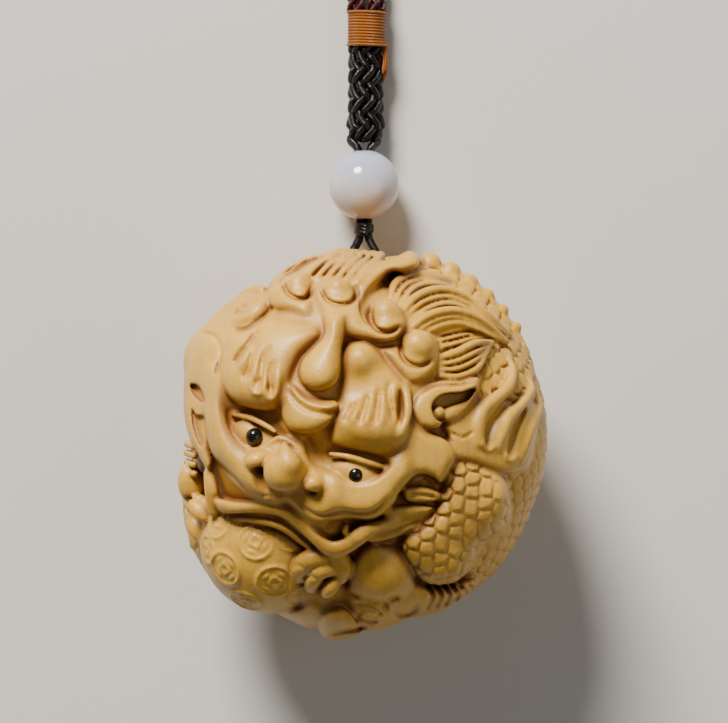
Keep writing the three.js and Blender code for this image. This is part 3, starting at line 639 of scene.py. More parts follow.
add(mass(*BALL, BALL_RADIUS, BALL_RADIUS, BALL_RADIUS + 0.2), 0.3)
COINS = [(-15.9, -8.2, 1.9, 30), (-8.0, -9.6, 1.8, 10), (-6.9, -16.2, 1.9, 50), (-17.2, -11.2, 1.7, 5),
         (-13.0, -16.9, 2.0, 40), (-11.8, -10.2, 2.1, 20), (-15.2, -13.2, 2.1, -15), (-9.8, -14.6, 2.15, 8),
         (-17.0, -10.0, 1.9, 0, -1), (-15.4, -14.4, 1.9, 25, -1), (-10.5, -17.6, 1.9, 60, -1)]
for seen in COINS:
    mark(coin(*seen))
print(len(carved), "forms so far")

# %% [markdown]
# A small second beast looks out under the ball, with a smooth head, closed eyes and a ribbed belly, and
# the foot of the big one lies beside its snout.

# %% The small beast and the foot
add(pad([[-1.2, -12.4], [0.6, -10.4], [3.4, -10.8], [4.6, -12.6], [5.8, -14.8], [9, -15.1], [11.8, -14.4],
         [12.7, -15.4], [11.4, -16.9], [9, -18.2], [6, -18.9], [4.9, -19.1], [2, -20.4], [-1.2, -20.7],
         [-2.4, -18.5], [-1.9, -15.5]], 0.9, 1.6), 0.3)
add(lobe(2, -13.4, -1.4, 3.5, 4, 3.2), 0.6)
add(pad([[-4.7, -18.5], [-4.9, -20.8], [-4.1, -21.7], [-3, -21.8], [-1.6, -21.2], [-0.4, -20.6],
         [-0.8, -18.8], [-2.6, -17.4]], 2, 1.5), 0.3)
add(pad([[-9.8, -18.4], [-7.4, -17.6], [-5.6, -17.2], [-4.3, -18], [-4.2, -19.6], [-5.2, -20.3],
         [-6.6, -20.3], [-7.9, -19.6]], 1.3, 1.2), 0.3)
mark(scored([[-1.6, -16], [0.2, -16.8], [1.6, -17], [2.8, -17.8]], 0.7, 0.45))
mark(scored([[-1.2, -17.1], [0.3, -17.4], [1.4, -17.8], [2, -18.5]], 0.6, 0.38))
mark(scored([[-1, -18.6], [0.4, -19.1], [1.6, -19.1]], 0.6, 0.35))
add(lobe(0.4, -18.1, 0.7, 0.9, 0.5, 0.7, -10), 0.15)
mark(scored([[2.2, -17.3], [3, -16.5], [3.9, -16.3]], 0.7, 0.4))
mark(scored([[-3.6, -20.8], [-2.4, -20.3], [-1, -20.1], [0.4, -19.8]], 0.6, 0.35))
mark(scored([[3, -18], [4.2, -18.5], [5.4, -18.1], [6, -17.2]], 0.7, 0.4))
for i in range(6):
    x = 6.6 + 0.95 * i
    rib = [[x, -14.9 - 0.03 * i], [x + 0.95, -16.2 - 0.02 * i], [x + 0.3, -18 + 0.16 * i]]
    mark(scored(rib, 0.5, 0.34))
print(len(carved), "forms so far")

# %% [markdown]
# ## The head
# The head is tilted and turned, so it is five overlapping masses rather than one ball. The temple and the
# cheek band bound the face on the left.

# %% Head, temple and cheek
add(mass(-8.2, 6.8, 18.5, 11.8, 11.4, 13.2), 0.6)
add(mass(-3, 12.5, 18, 8.6, 9.2, 12.6), 1)
add(mass(-6.5, -1.2, 20, 10.6, 9, 14.2), 1)
add(mass(0.4, -2.4, 22, 6.6, 6, 12), 1)
add(mass(-4.6, -6.8, 23, 6.3, 4.4, 10), 1)
add(lobe(-17.3, 10.2, 0.2, 3, 4.4, 2.6, 20), 0.8)
add(pad([[-14.8, 8], [-14.6, 11.6], [-12.4, 14.6], [-8, 17.2], [-4, 17.8], [-2.6, 14], [-2.6, 9],
         [-3.2, 4.6], [-5, 1.6], [-8.4, 1.6], [-9.8, 4], [-13, 4.8], [-14.6, 5.8]], 3.9, 3), 1.2)
add(pad([[-5, 17.6], [-1, 18], [2.6, 17.4], [6, 14.4], [8.4, 11], [8, 7.6], [6.4, 5], [5.6, 1.5],
         [2.4, -0.4], [-1.6, 0.2], [-4.4, 1], [-6, 3.6], [-6.4, 9], [-6, 14]], 2.4, 2.4), 1.2)
add(pad([[-16.9, 9], [-17.5, 4.6], [-17.3, 2], [-16.6, -0.5], [-15, -2.3], [-13.8, -3.9], [-12.3, -5],
         [-10.6, -5.6], [-9, -5.5], [-9, -4], [-10.6, -2.8], [-11.8, -1.2], [-13.3, 0.2], [-14.5, 2.2],
         [-15.1, 4.6], [-15.3, 7.4]], 4.4, 2.4), 1.2)
add(pad([[-14.6, 2], [-14.4, -1.4], [-12.8, -4.2], [-10.8, -5.4], [-8.6, -5.4], [-7.2, -6.2], [-5.2, -7.6],
         [-3.4, -7.7], [-1.5, -7.4], [0.3, -7.5], [1.8, -6.9], [3.2, -5.6], [4.2, -4], [5.2, -2],
         [5.4, 1.4], [3.6, 0.4], [0, -1.6], [-3.6, -1.6], [-6, 0.2], [-8.6, 1], [-10.8, 0.6], [-12.8, 1]],
        3.2, 2.2), 1)
mark(scored([[-17.9, 12.6], [-16.4, 12.2], [-15.6, 10.4], [-16.2, 8]], 0.5, 0.3))
print(len(carved), "forms so far")

# %% [markdown]
# The eye sockets are cut back first and an eyeball is laid into each. The lids are thin ridges with a
# crease over them, which gives the stern look, and each eyeball later gets its inlaid black bead.

# %% Eye sockets and lids
cut(hollow([[-14.6, 4.2], [-12.2, 3.9], [-10, 3], [-8.4, 1.6], [-9.4, 0.9], [-10.8, 0.4], [-12.2, -0.4],
            [-13.4, 0.5], [-14.5, 2.2]], 2.1, 1), 0.5)
add(lobe(-12.1, 1.6, 1, 2.2, 1.9, 1.9, -20), 0.35)
cut(hollow([[-4.4, 0.4], [-2.2, -0.1], [0.4, -0.7], [2.6, -1.4], [2.6, -2.2], [1.2, -3.2], [-0.6, -3.7],
            [-2.4, -3.2], [-3.8, -2.4], [-5.4, -1.8], [-6.2, -0.4], [-6.2, 1.2]], 1.5, 1.2), 0.7)
add(lobe(-0.9, -2.5, 0.8, 2.8, 2, 2, -20), 0.6)
add(strand([[-14.2, 3.7, 2.2, 0.25], [-12.4, 3.4, 2.75, 0.34], [-10.7, 2.6, 2.85, 0.32],
            [-9.6, 1.9, 2.8, 0.25]]), 0.4)
add(strand([[-3.6, -0.5, 2.2, 0.25], [-1.6, -0.8, 2.65, 0.34], [0.8, -1.5, 2.6, 0.34],
            [2.4, -2, 2.1, 0.25]]), 0.4)
add(strand([[-14, 2.6, 2.2, 0.2], [-13.6, 1.1, 2.4, 0.26], [-12.7, 0, 2.5, 0.26],
            [-11.2, -0.1, 2.7, 0.22]]), 0.4)
add(strand([[-10.9, 0.2, 2.8, 0.25], [-9.2, 1.2, 3, 0.3], [-7.9, 0.7, 3.1, 0.3], [-6.9, -0.2, 3, 0.25]]),
    0.4)
print(len(carved), "forms so far")

# %% [markdown]
# The nose is a bulb with a pointed bridge and two wings with nostrils. The upper lip sweeps from the left
# cheek under the nose and up to the right jowl.

# %% Nose and upper lip
add(lobe(-8.5, -2.4, 3.6, 2.45, 2.3, 2.5, -15), 0.5)
add(strand([[-8.1, -1.6, 4.8, 1.4], [-8.4, -0.5, 4.7, 0.8], [-8.6, 0.6, 3.9, 0.3]]), 0.45)
add(lobe(-11.35, -1.2, 3.5, 1.5, 1.1, 1.75, 15), 0.35)
add(lobe(-5.4, -3.65, 3.2, 1.2, 1.05, 1.5), 0.4)
cut(lobe(-11.4, -2.35, 4.4, 0.8, 0.5, 1.8), 0.25)
cut(strand([[-11.4, -2.7, 4.2, 0.5], [-11.2, -3.7, 4.1, 0.6], [-10.8, -4.4, 3.8, 0.4]]), 0.5)
cut(lobe(-6, -4.8, 4, 0.85, 0.36, 1.5), 0.25)
cut(strand([[-9.8, -4.7, 4.2, 0.4], [-8.2, -5, 4.3, 0.5], [-6.6, -5.2, 4.2, 0.4]]), 0.5)
add(pad([[-9.3, -5.5], [-8.4, -5.3], [-7.5, -6.1], [-6.2, -7.3], [-4.8, -7.9], [-3.4, -7.6], [-1.5, -7.3],
         [0.3, -7.5], [1.6, -7.1], [3, -5.8], [4, -4.2], [5.2, -2.7], [4.6, -1], [2.9, -2.2], [1.4, -4],
         [-0.8, -4.9], [-2.4, -4], [-3.4, -3.2], [-4.2, -4.8], [-6, -5.7], [-8, -5]], 3.5, 2), 1)
add(lobe(-3.2, -4.8, 2.4, 1, 1.9, 1.6, 10), 0.9)
mark(scored([[-15.9, -1.6], [-14.3, -3], [-12.8, -4.4], [-11.4, -5], [-9.4, -5]], 0.5, 0.2))
mark(scored([[-7.4, -5.5], [-6, -6.6], [-4.6, -7.2], [-2.6, -6.7], [-0.2, -6.9], [1.3, -6.5], [2.6, -5.2]],
            0.5, 0.22))
print(len(carved), "forms so far")

# %% [markdown]
# The mouth is a dark gap that deepens to a pocket with a small tooth. The lower lip is a ribbon along it,
# and two fine folds of skin follow it over the ball.

# %% Mouth and lower lip
cut(strand([[-16.2, -4.9, 2, 0.3], [-14.2, -5.1, 2.6, 0.6], [-12.3, -5.6, 2.8, 0.45], [-10, -6, 3, 0.35],
            [-8.7, -5.9, 3, 0.35], [-7.4, -6.9, 2.9, 0.35], [-5.6, -8.2, 2.8, 0.4], [-3.8, -8.2, 2.6, 0.5],
            [-1.5, -8, 2.4, 0.5], [0.8, -8, 2.2, 0.45], [2.6, -7, 2, 0.4], [4.2, -5.2, 1.8, 0.35]]), 0.3)
cut(hollow([[-4, -8.2], [-2.6, -7.7], [-0.6, -7.9], [-0.9, -9.2], [-2, -9.9], [-3.4, -9.5]], 1, 0.6), 0.2)
add(lobe(-2, -8.7, 1.4, 0.45, 0.75, 0.7), 0.15)
add(pad([[-16.2, -5.6], [-14, -5.8], [-12, -5.75], [-10, -5.95], [-8.5, -6.3], [-7.2, -7.2], [-5.8, -8.4],
         [-4.6, -9.4], [-3.5, -10], [-2.4, -9.8], [-1.4, -9.1], [-0.4, -8.3], [0.8, -8.1], [1, -8.9],
         [0.2, -10], [-1.2, -11.1], [-2.6, -11.7], [-4, -11.6], [-5.2, -10.8], [-6.3, -9.7], [-7.6, -8.3],
         [-9, -7.4], [-10.6, -7.05], [-12.5, -7], [-14.4, -7.2], [-15.9, -6.8]], 2.5, 0.8), 0.3)
add(strand([[-14.8, -7.6, 0.2, 0.7], [-11.4, -7.7, 0.7, 0.8], [-9, -8.4, 0.7, 0.8], [-7, -9.8, 0.3, 0.75],
            [-5.4, -11.1, 0, 0.6]]), 0.4)
add(strand([[-13.8, -8.5, -0.7, 0.6], [-11.2, -8.7, -0.3, 0.65], [-8.8, -9.5, -0.4, 0.65],
            [-6.9, -10.9, -0.6, 0.6]]), 0.4)
mark(scored([[-15, -7.3], [-12, -7.35], [-9.6, -7.7], [-7.9, -8.6], [-6.2, -10.1], [-4.8, -11.3]],
            0.4, 0.35))
mark(scored([[-14.6, -8.3], [-11.6, -8.4], [-9.2, -9], [-7.2, -10.4], [-5.8, -11.6]], 0.4, 0.35))
print(len(carved), "forms so far")

# %% [markdown]
# The brows are pillows with a soft top and tufts of hair combed out of them: fine lines, some cut and,
# between those, some raised. Between the brows hang a heart-shaped plate and a drop.

# %% Brows, plate and drop
add(pad([[-14.6, 12.6], [-12.6, 13.4], [-10.5, 14.4], [-8, 14.2], [-5.6, 13.7], [-4.5, 12.5], [-5.3, 11.3],
         [-6.6, 10], [-7.4, 8.5], [-8, 6.6], [-8.7, 4.9], [-10.2, 4.2], [-12.6, 4.5], [-14.6, 5.5],
         [-15.6, 7.4], [-15.5, 10]], 5.6, 3), 0.3)
tufts(0.68, 0.42,
      [[-11.3, 13.2, 0.7], [-12.2, 11.9, 1], [-13.1, 10.6, 1.2], [-13.8, 9.7, 1], [-14.1, 8.9, 0.7]],
      [[-11.6, 12.2, 0.6], [-12.1, 10.8, 0.8], [-12.3, 9.4, 0.9], [-12.6, 8.3, 1.2], [-13.1, 7.6, 0.9]],
      [[-10.4, 11.2, 0.4], [-11, 9.6, 1.1], [-11.1, 8.6, 0.9], [-11.1, 7.8, 0.9], [-11.7, 6.9, 1.3]],
      [[-9.7, 9.7, 0.4], [-10.2, 8.4, 0.9], [-10.2, 7.2, 1], [-10.1, 6.2, 1.2]])
tufts(0.65, -0.26,
      [[-12, 11.3, 0.5], [-12.9, 10, 1], [-13.6, 8.6, 0.6]],
      [[-11.4, 10, 0.5], [-11.8, 8.6, 1], [-12.3, 7.2, 1], [-12, 6.2, 1], [-11.2, 6.1, 0.8],
       [-10.9, 7, 0.6]],
      [[-10.7, 9, 0.5], [-10.7, 7.4, 1], [-10.6, 6, 1], [-10, 5.4, 1], [-9.5, 6.2, 1], [-9.3, 7.6, 1],
       [-9.2, 8.6, 0.5]])
add(pad([[-2.4, 9.4], [-1.9, 10.9], [-0.8, 11.4], [0.6, 11.1], [2.2, 9.9], [3.5, 8.4], [4.7, 6.9],
         [5, 4.5], [4.9, 2], [4.1, 0.1], [2.2, -0.8], [0, -0.3], [-2.2, 0.1], [-3.6, 0.7], [-3.8, 2],
         [-3.2, 3.6], [-3.4, 5.6], [-2.9, 7.4]], 3.4, 2), 0.3)
add(lobe(-0.4, 9.2, 1.7, 2.2, 2.3, 3.1, -30), 0.9)
add(lobe(0.6, 2.5, 2, 4.1, 2.6, 3.1, -12), 0.9)
cut(strand([[-3.2, 6.3, 4.2, 0.9], [-1.4, 6.7, 4.5, 1.15], [0.6, 7.3, 4.7, 0.9], [2.2, 7.9, 4.7, 0.4]]), 1)
add(strand([[4.5, 6.8, 2.3, 0.4], [4.6, 4.6, 3, 0.6], [4.4, 3.2, 3.2, 0.6], [3.8, 1.8, 3.4, 0.6]]), 0.5)
tufts(0.68, 0.42,
      [[-0.9, 5.1, 0.8], [-1.5, 4, 1], [-2.1, 2.9, 1]],
      [[0.5, 5.9, 0.8], [0, 4.2, 1.1], [-0.5, 2.8, 1.1]],
      [[1.7, 6.5, 0.8], [1.4, 4.3, 1.1], [1.1, 2.8, 1.1]],
      [[2.9, 7.3, 0.7], [2.6, 5.9, 0.8], [2.9, 4.6, 1], [3.1, 2.8, 1.1]],
      [[4, 6.6, 0.5], [3.9, 5.4, 1.3], [3.9, 3.7, 1.4], [3.5, 2, 0.9]])
tufts(0.8, -0.24,
      [[-0.4, 5.3, 0.8], [-1, 4, 1], [-1.5, 2.8, 0.8]],
      [[0.9, 6, 0.8], [0.4, 3.9, 1], [0.1, 2.7, 0.8]],
      [[2.1, 6.4, 0.5], [2, 4.6, 1], [1.9, 2.6, 0.8]],
      [[3.2, 7, 0.5], [3.1, 5.6, 0.8], [3.4, 4.2, 0.8]])
add(pad([[-8.7, 7.2], [-7.2, 6.7], [-6, 5.8], [-4.6, 5.4], [-3, 5.2], [-3, 3.8], [-4.2, 2.3], [-6, 1.7],
         [-7.8, 2], [-8.7, 3.1], [-9, 4.8]], 5, 1.8), 0.3)
mark(scored([[-8, 7.1], [-7, 5.7], [-5.6, 4.85], [-4, 4.6], [-2.6, 4.8]], 0.6, -0.22))
mark(scored([[-8.2, 6.4], [-7.3, 5.1], [-6, 4.2], [-4.4, 3.85], [-2.9, 4.1]], 0.6, 0.25))
add(pad([[-4.2, 14.6], [-4.4, 12.4], [-5.6, 11], [-6.7, 9.8], [-7.1, 8.3], [-6.6, 7], [-5.3, 6.3],
         [-3.9, 6.5], [-2.9, 7.4], [-2.5, 8.8], [-2.4, 11], [-2, 14.6]], 6.2, 2.4), 0.2)
print(len(carved), "forms so far")

# %% [markdown]
# The horns curl over the forehead in scrolls. Each scroll's end rolls into a ball that grows out of it,
# with a crease only on its under side, so it is joined softly and the crease is scored in.

# %% Horns
add(pad([[-10.6, 16.8], [-10.1, 15.2], [-8.2, 14.7], [-6.2, 14.1], [-5.4, 15.2], [-5.6, 17], [-5.8, 18.6],
         [-7.2, 19.5], [-8.8, 19.2], [-10, 18.2]], 4.6, 2), 0.3)
add(knob(-7.1, 17.9, 3.6, 1.5), 0.5)
mark(scored([[-8.9, 18.2], [-8.4, 17.1], [-7.4, 16.4], [-6.3, 16.4], [-5.6, 17.3]], 0.55, 0.5))
add(pad([[-6, 17.2], [-5.3, 15.3], [-4.6, 13.8], [-3.2, 12.6], [-0.5, 11.9], [2.2, 11.5], [3.9, 12.2],
         [4.6, 13.8], [3.8, 15.6], [2, 15.6], [0.6, 14], [-0.2, 15.8], [-1.2, 17.6], [-2.6, 18.7],
         [-4.6, 18.6]], 4.4, 2), 0.4)
add(lobe(-2.8, 17.3, 3.4, 1.5, 1.2, 1.45), 0.5)
mark(scored([[-4.6, 17.3], [-4, 16.2], [-2.8, 15.7], [-1.4, 15.9], [-0.9, 16.8]], 0.55, 0.5))
add(pad([[-2.2, 18.6], [-1, 17], [-0.2, 15.6], [0.9, 17.2], [2.8, 19.2], [4.4, 19.3], [5.9, 19.9],
         [6.2, 21.1], [5, 21.8], [3.2, 20.9], [1.2, 20.3], [-0.6, 19.6]], 3.6, 1.6), 0.3)
cut(strand([[0.5, 13.9, 3.8, 0.4], [0.1, 15.2, 3.4, 0.65], [0.9, 16.8, 3.1, 0.65], [2.4, 18.3, 2.5, 0.6],
            [3.2, 19.1, 1.9, 0.45]]), 0.3)
add(knob(2.4, 14.6, 2.9, 1.75), 0.4)
mark(scored([[0.75, 15.4], [0.7, 14.1], [1.4, 13], [2.6, 12.7], [3.8, 13.2]], 0.6, 0.55))
add(pad([[1.9, 10.9], [3, 9.2], [4.1, 7.9], [5.1, 7.1], [6.5, 7.4], [7.6, 8.6], [8.1, 10.3], [7.9, 12],
         [5.8, 12.6], [4, 11.4]], 3.3, 1.6), 0.3)
add(knob(5.85, 11.15, 2.5, 1.85), 0.4)
mark(scored([[4, 11.6], [4.1, 10.2], [4.9, 9.3], [6.1, 9], [7.3, 9.6]], 0.6, 0.55))
add(strand([[-14.3, 13.7, 2.4, 0.8], [-12.9, 13.9, 3, 1], [-11.6, 14.8, 3.1, 1.05],
            [-10.7, 15.7, 2.8, 0.9]]), 0.3)
add(strand([[-14.7, 14.2, 2, 0.45], [-14.5, 15.6, 2, 0.45], [-13.4, 16.7, 2, 0.5], [-12.2, 17.3, 1.9, 0.6],
            [-11.2, 17.2, 2, 0.6]]), 0.35)
mark(scored([[-14.2, 15.1], [-13.7, 14.8], [-13.2, 15.2], [-13.2, 15.9]], 0.7, 0.4))
mark(scored([[-9.9, 15.4], [-11.4, 14], [-12.8, 13], [-14.4, 12.9]], 0.5, 0.35))
print(len(carved), "forms so far")

# %% [markdown]
# ## Mane, ears and flames
# The mane falls in sweeps of strands from the crown over the right shoulder, each sweep tapering to a tip.

# %% Locks of the mane
lock([[-6.3, 18.6, 3.3, 0.65], [-4.6, 20.3, 2.5, 0.7], [-2.6, 21.6, 1, 0.6]],
     [[-0.9, 18.1, 3.2, 0.75], [0.4, 19.8, 2.5, 0.75], [1.8, 21.2, 1, 0.6]], 6, 0.35, 1, 0.3)
lock([[-9.8, 17.9, 2, 0.6], [-8.4, 19.3, 1.6, 0.6], [-6.4, 20.7, 0.7, 0.5]],
     [[-6.9, 19.2, 2.9, 0.6], [-5.4, 20.4, 2.1, 0.6], [-3.6, 21.4, 0.8, 0.5]], 4, 0.35, 1, 0.28)
lock([[3, 16.3, 1.8, 0.5], [3.5, 17.9, 1.7, 0.6], [5.2, 18.9, 1.4, 0.6], [8, 18.9, 1.1, 0.5],
      [11.3, 17.6, 0.6, 0.3]],
     [[3.9, 15.4, 1.8, 0.5], [4.9, 17.1, 1.6, 0.6], [6.3, 18, 1.2, 0.55], [8.4, 18.1, 0.9, 0.5],
      [11.3, 17.4, 0.5, 0.3]], 3, 0.15)
lock([[4.3, 14.8, 2.2, 0.5], [5.8, 16.5, 2.2, 0.6], [8.4, 17.3, 2, 0.6], [11.4, 16.4, 1.7, 0.55],
      [13.8, 14.4, 1.5, 0.45], [16.3, 12.4, 1, 0.25]],
     [[5, 14, 1.8, 0.5], [6.9, 15.3, 1.6, 0.6], [9.2, 15.9, 1.4, 0.6], [11.4, 15.3, 1.3, 0.5],
      [13.7, 13.7, 1.3, 0.4], [16.1, 12.3, 0.9, 0.25]], 3, 0.15)
lock([[5.4, 13.3, 2, 0.5], [7.4, 14.5, 2.1, 0.65], [10, 14.9, 2, 0.65], [12.6, 14, 1.8, 0.55],
      [15.8, 11.7, 1.2, 0.3]],
     [[6.9, 12.9, 1.4, 0.5], [8.6, 13.6, 1.4, 0.6], [10.6, 13.8, 1.4, 0.6], [12.8, 13, 1.4, 0.5],
      [15.6, 11.6, 1.1, 0.3]], 3, 0.15)
lock([[7.6, 12.3, 0.6, 0.5], [9.6, 12.8, 0.7, 0.55], [11.6, 13, 0.8, 0.5], [13.4, 12.4, 0.8, 0.35]],
     [[8.1, 11.1, 0.6, 0.5], [10, 11.5, 0.6, 0.5], [11.6, 12, 0.7, 0.45], [13.2, 12.2, 0.8, 0.3]], 3, 0.15)
lock([[8.2, 9.8, 1.5, 0.5], [10.2, 10.4, 1.6, 0.6], [12.2, 11.4, 1.6, 0.55], [14.1, 11.6, 1.1, 0.3]],
     [[8.4, 8, 1.2, 0.5], [10.2, 7.9, 1.2, 0.55], [12.2, 8.8, 1.2, 0.55], [13.6, 11, 1, 0.3]], 4, 0.15)
print(len(carved), "forms so far")

# %% [markdown]
# The right ear is a leaf with a cup, a small ball at its root and a tongue inside. Under it the jowl
# swells over a hollow with a fold of skin.

# %% Right ear and jowl
add(pad([[5, 4.3], [5.6, 5.7], [6.6, 6.8], [8.2, 7.35], [10.3, 7.3], [12.3, 7.8], [12.6, 7], [12.3, 6.1],
         [11.4, 4.9], [10.2, 3.7], [8.9, 3.2], [7.8, 2.2], [6.3, 2.4], [5.4, 3.3]], 2.9, 1.2), 0.3)
cut(hollow([[7.3, 4.5], [7.8, 5.5], [8.9, 6.05], [10.4, 6.15], [12, 6.6], [11.9, 6], [11, 4.6], [10, 3.6],
            [8.8, 3], [7.8, 3.2]], 1, 0.6), 0.2)
add(knob(8, 3.95, 1.6, 0.75), 0.2)
add(pad([[8.7, 4.3], [9.8, 4.8], [11.2, 5.4], [12.2, 6.5], [11.9, 5.3], [10.7, 3.9], [9.5, 3.1],
         [8.6, 3.2]], 2, 0.7), 0.25)
mark(scored([[6.2, 6.1], [7.8, 6.9], [10, 6.9], [12, 7.3]], 0.4, 0.25))
add(strand([[8.9, 2.4, 0.5, 0.4], [10.2, 1.6, 0.5, 0.45], [11.4, 2.2, 0.5, 0.4]]), 0.25)
add(pad([[4.7, 3.8], [5.6, 2.9], [7, 1.9], [8.7, 1.1], [9.6, 0.1], [9.9, -1], [9.3, -2.3], [8.3, -3.7],
         [7.4, -3.1], [6.3, -2.75], [5.3, -3.1], [4.3, -3.9], [4, -1.8], [4.3, 1]], 2.6, 1.3), 0.5)
cut(hollow([[4.3, -4.1], [5.4, -3], [6.4, -2.8], [7.6, -3.2], [8.3, -4.2], [7.6, -5.8], [6, -6.2],
            [4.4, -5.9], [3.6, -5.2]], 0.2, 0.6), 0.3)
add(pad([[4.3, -4.2], [6.4, -4.1], [8.2, -4.7], [8.2, -5.5], [6.6, -5.8], [4.6, -5.6]], 1.7, 0.8), 0.4)
mark(scored([[4.8, -5], [6.4, -5], [7.8, -5.2]], 0.4, 0.3))
add(pad([[2.2, -6.7], [4.2, -6.1], [7.3, -6.2], [7.2, -6.9], [5, -7.5], [2.6, -7.7]], 1.5, 0.8), 0.4)
add(pad([[0.2, -9], [2, -8.2], [4.6, -7.6], [7, -7], [5.6, -8.6], [3.6, -9.6], [0.8, -10.2]], 1.3, 1), 0.5)
add(strand([[-0.6, -9.5, 1.9, 0.75], [1, -8.6, 1.7, 0.65], [3.4, -7.8, 1.1, 0.5]]), 0.5)
mark(scored([[1.2, -9.4], [3.6, -8.8], [6, -7.8]], 0.45, 0.25))
print(len(carved), "forms so far")

# %% [markdown]
# Flames lick over the flank from a smooth plate: thin strands with drop-shaped hollows between them. A row
# of knobs runs along the spine.

# %% Flames and spine knobs
add(pad([[9.6, -0.9], [12, -1.6], [13.6, -2.2], [15.2, -2.8], [16.8, -2.7], [18.2, -1.8], [18.9, 1.2],
         [19.2, 4], [18, 5.4], [16.6, 4.6], [15.2, 5.2], [13.2, 5.6], [12, 5.4], [10.4, 4.2], [9, 3.2],
         [9.2, 1.4]], 1.4, 1), 0.4)
add(strand([[15.8, 10.2, 0.6, 0.3], [16.3, 8.4, 1, 0.5], [15.7, 6.6, 1.3, 0.65], [14.1, 5.2, 1.3, 0.7],
            [13, 4.2, 1.3, 0.7], [12.4, 2.6, 1.2, 0.8], [12.4, 0.8, 1, 0.8]]), 0.5)
add(strand([[18.1, 7.8, 0.5, 0.3], [18.4, 6.3, 0.9, 0.5], [17.3, 4.8, 1.2, 0.6], [15.9, 3.4, 1.3, 0.65],
            [15.1, 1.6, 1.2, 0.6], [14.4, 0.2, 1, 0.6]]), 0.5)
add(strand([[19.1, 6, 0.4, 0.35], [19.3, 4.4, 0.8, 0.5], [18.4, 2.4, 1.1, 0.6], [17.7, 0.6, 1.1, 0.6],
            [16.9, -1, 0.9, 0.6]]), 0.5)
add(strand([[10.2, 3.4, 0.6, 0.3], [9.4, 2.4, 0.8, 0.4], [10.5, 1.6, 0.9, 0.4], [12, 2.4, 0.9, 0.3]]), 0.3)
cut(strand([[15.6, 4.9, 1.3, 0.25], [14.5, 3.4, 1.4, 0.5], [13.7, 1.9, 1.4, 0.62], [13.5, 0.9, 1.4, 0.5]]),
    0.35)
cut(strand([[17.6, 4.2, 1.3, 0.25], [16.9, 2.6, 1.4, 0.5], [16.4, 0.8, 1.4, 0.62],
            [16.1, -0.3, 1.4, 0.5]]), 0.35)
mark(scored([[13, 0.9], [13.1, 0], [13.8, -0.2], [14.3, 0.4]], 0.4, -0.2))
mark(scored([[15.5, -0.3], [15.7, -1.2], [16.4, -1.3], [16.9, -0.6]], 0.4, -0.2))
mark(scored([[9.4, 1.9], [10.6, 1.2], [12, 1.9]], 0.35, 0.2))
SPINE = [(7.3, 20.2, 0.3, 1.35), (9.5, 19.2, 0.2, 1.3), (11.5, 17.9, 0, 1.2), (13.3, 16.4, -0.3, 1),
         (14.9, 14.7, -0.4, 0.95), (16.3, 12.8, -0.5, 0.9)]
for x, y, lift, r in SPINE:
    add(lobe(x, y, lift, r, r, 1.45), 0.2)
print(len(carved), "forms so far")

# %% [markdown]
# ## Left side and paw
# At the left edge the ear, small folds and the toes of the far paw stand out of the outline. On the ball
# lies the near paw with its claws.

# %% Left ear, far toes and near paw
add(pad([[-17.3, 7.2], [-18.4, 7.6], [-19.6, 7.2], [-20, 5.2], [-19.8, 3], [-19.2, 1], [-18.4, -0.4],
         [-17.2, -2.4], [-16.6, -1.6], [-17.1, 0.4], [-17.2, 3]], 2.2, 1.2), 0.3)
cut(hollow([[-19, 7], [-18.1, 6.8], [-17.5, 5.5], [-17.6, 5], [-18.4, 5.6], [-19, 6.3]], 1.6, 0.5), 0.3)
cut(hollow([[-18.9, 4.3], [-18.4, 3.6], [-17.5, 3.4], [-17.4, 1.8], [-17.7, 0.2], [-18.3, 1],
            [-18.8, 2.6]], 1.5, 0.5), 0.3)
add(lobe(-19.1, -4, 0.7, 1.2, 2.3, 1.5, 8), 0.25)
add(lobe(-17.9, -6.7, 0.9, 1.9, 1, 1.4, -20), 0.25)
add(lobe(-18.2, -8.9, 0.8, 1.9, 1.15, 1.4, -18), 0.25)
add(lobe(-18.2, -10.9, 0.5, 1.2, 0.9, 1.1, -25), 0.25)
mark(scored([[-19.8, -5.5], [-18.6, -5.7], [-17.6, -6]], 0.4, 0.3))
add(strand([[-17, -2.8, 1.2, 0.6], [-16.7, -4.6, 1.3, 0.8], [-16.5, -6.8, 1.2, 0.7]]), 0.4)
for y in (0.4, -0.6, -1.6, -2.6):
    add(strand([[-19.6, y, 0.5, 0.4], [-18.7, y - 0.25, 0.9, 0.42]]), 0.15)
add(lobe(-4.4, -15.2, -1.6, 3.6, 3.2, 2.4), 0.8)
add(strand([[-3, -11.6, 0.4, 1.1], [-2.3, -12.8, 0.3, 1.1], [-2.6, -14, 0.2, 0.9]]), 0.4)
add(strand([[-4.6, -11.8, 0.5, 1.05], [-6, -12.1, 0.7, 1.1], [-6.8, -12.9, 0.6, 1.1],
            [-7.1, -13.9, 0.4, 0.9]]), 0.2)
add(strand([[-3.7, -13, 0.6, 1], [-4.9, -13.4, 0.9, 1], [-5.5, -14.3, 0.8, 1], [-5.8, -15.1, 0.6, 0.8]]),
    0.15)
add(lobe(-3.7, -15.2, 0.9, 0.9, 1.55, 1, -38), 0.15)
for x, y in ((-7.2, -14), (-5.8, -15.2)):
    mark(scored([[x - 0.6, y + 1], [x, y + 1.3], [x + 0.7, y + 0.9]], 0.4, 0.18))
print(len(carved), "forms so far")

# %% [markdown]
# ## The back
# The photograph doesn't show the back. It is carved in keeping and plainer: the mane falls over it in
# broad strands, the spine runs on with its knobs, a hind leg ends in a paw, and the tail curls under in
# flames. A small flat spot at the middle lets the piece lie still. A bent tunnel behind the crown takes
# the cord.

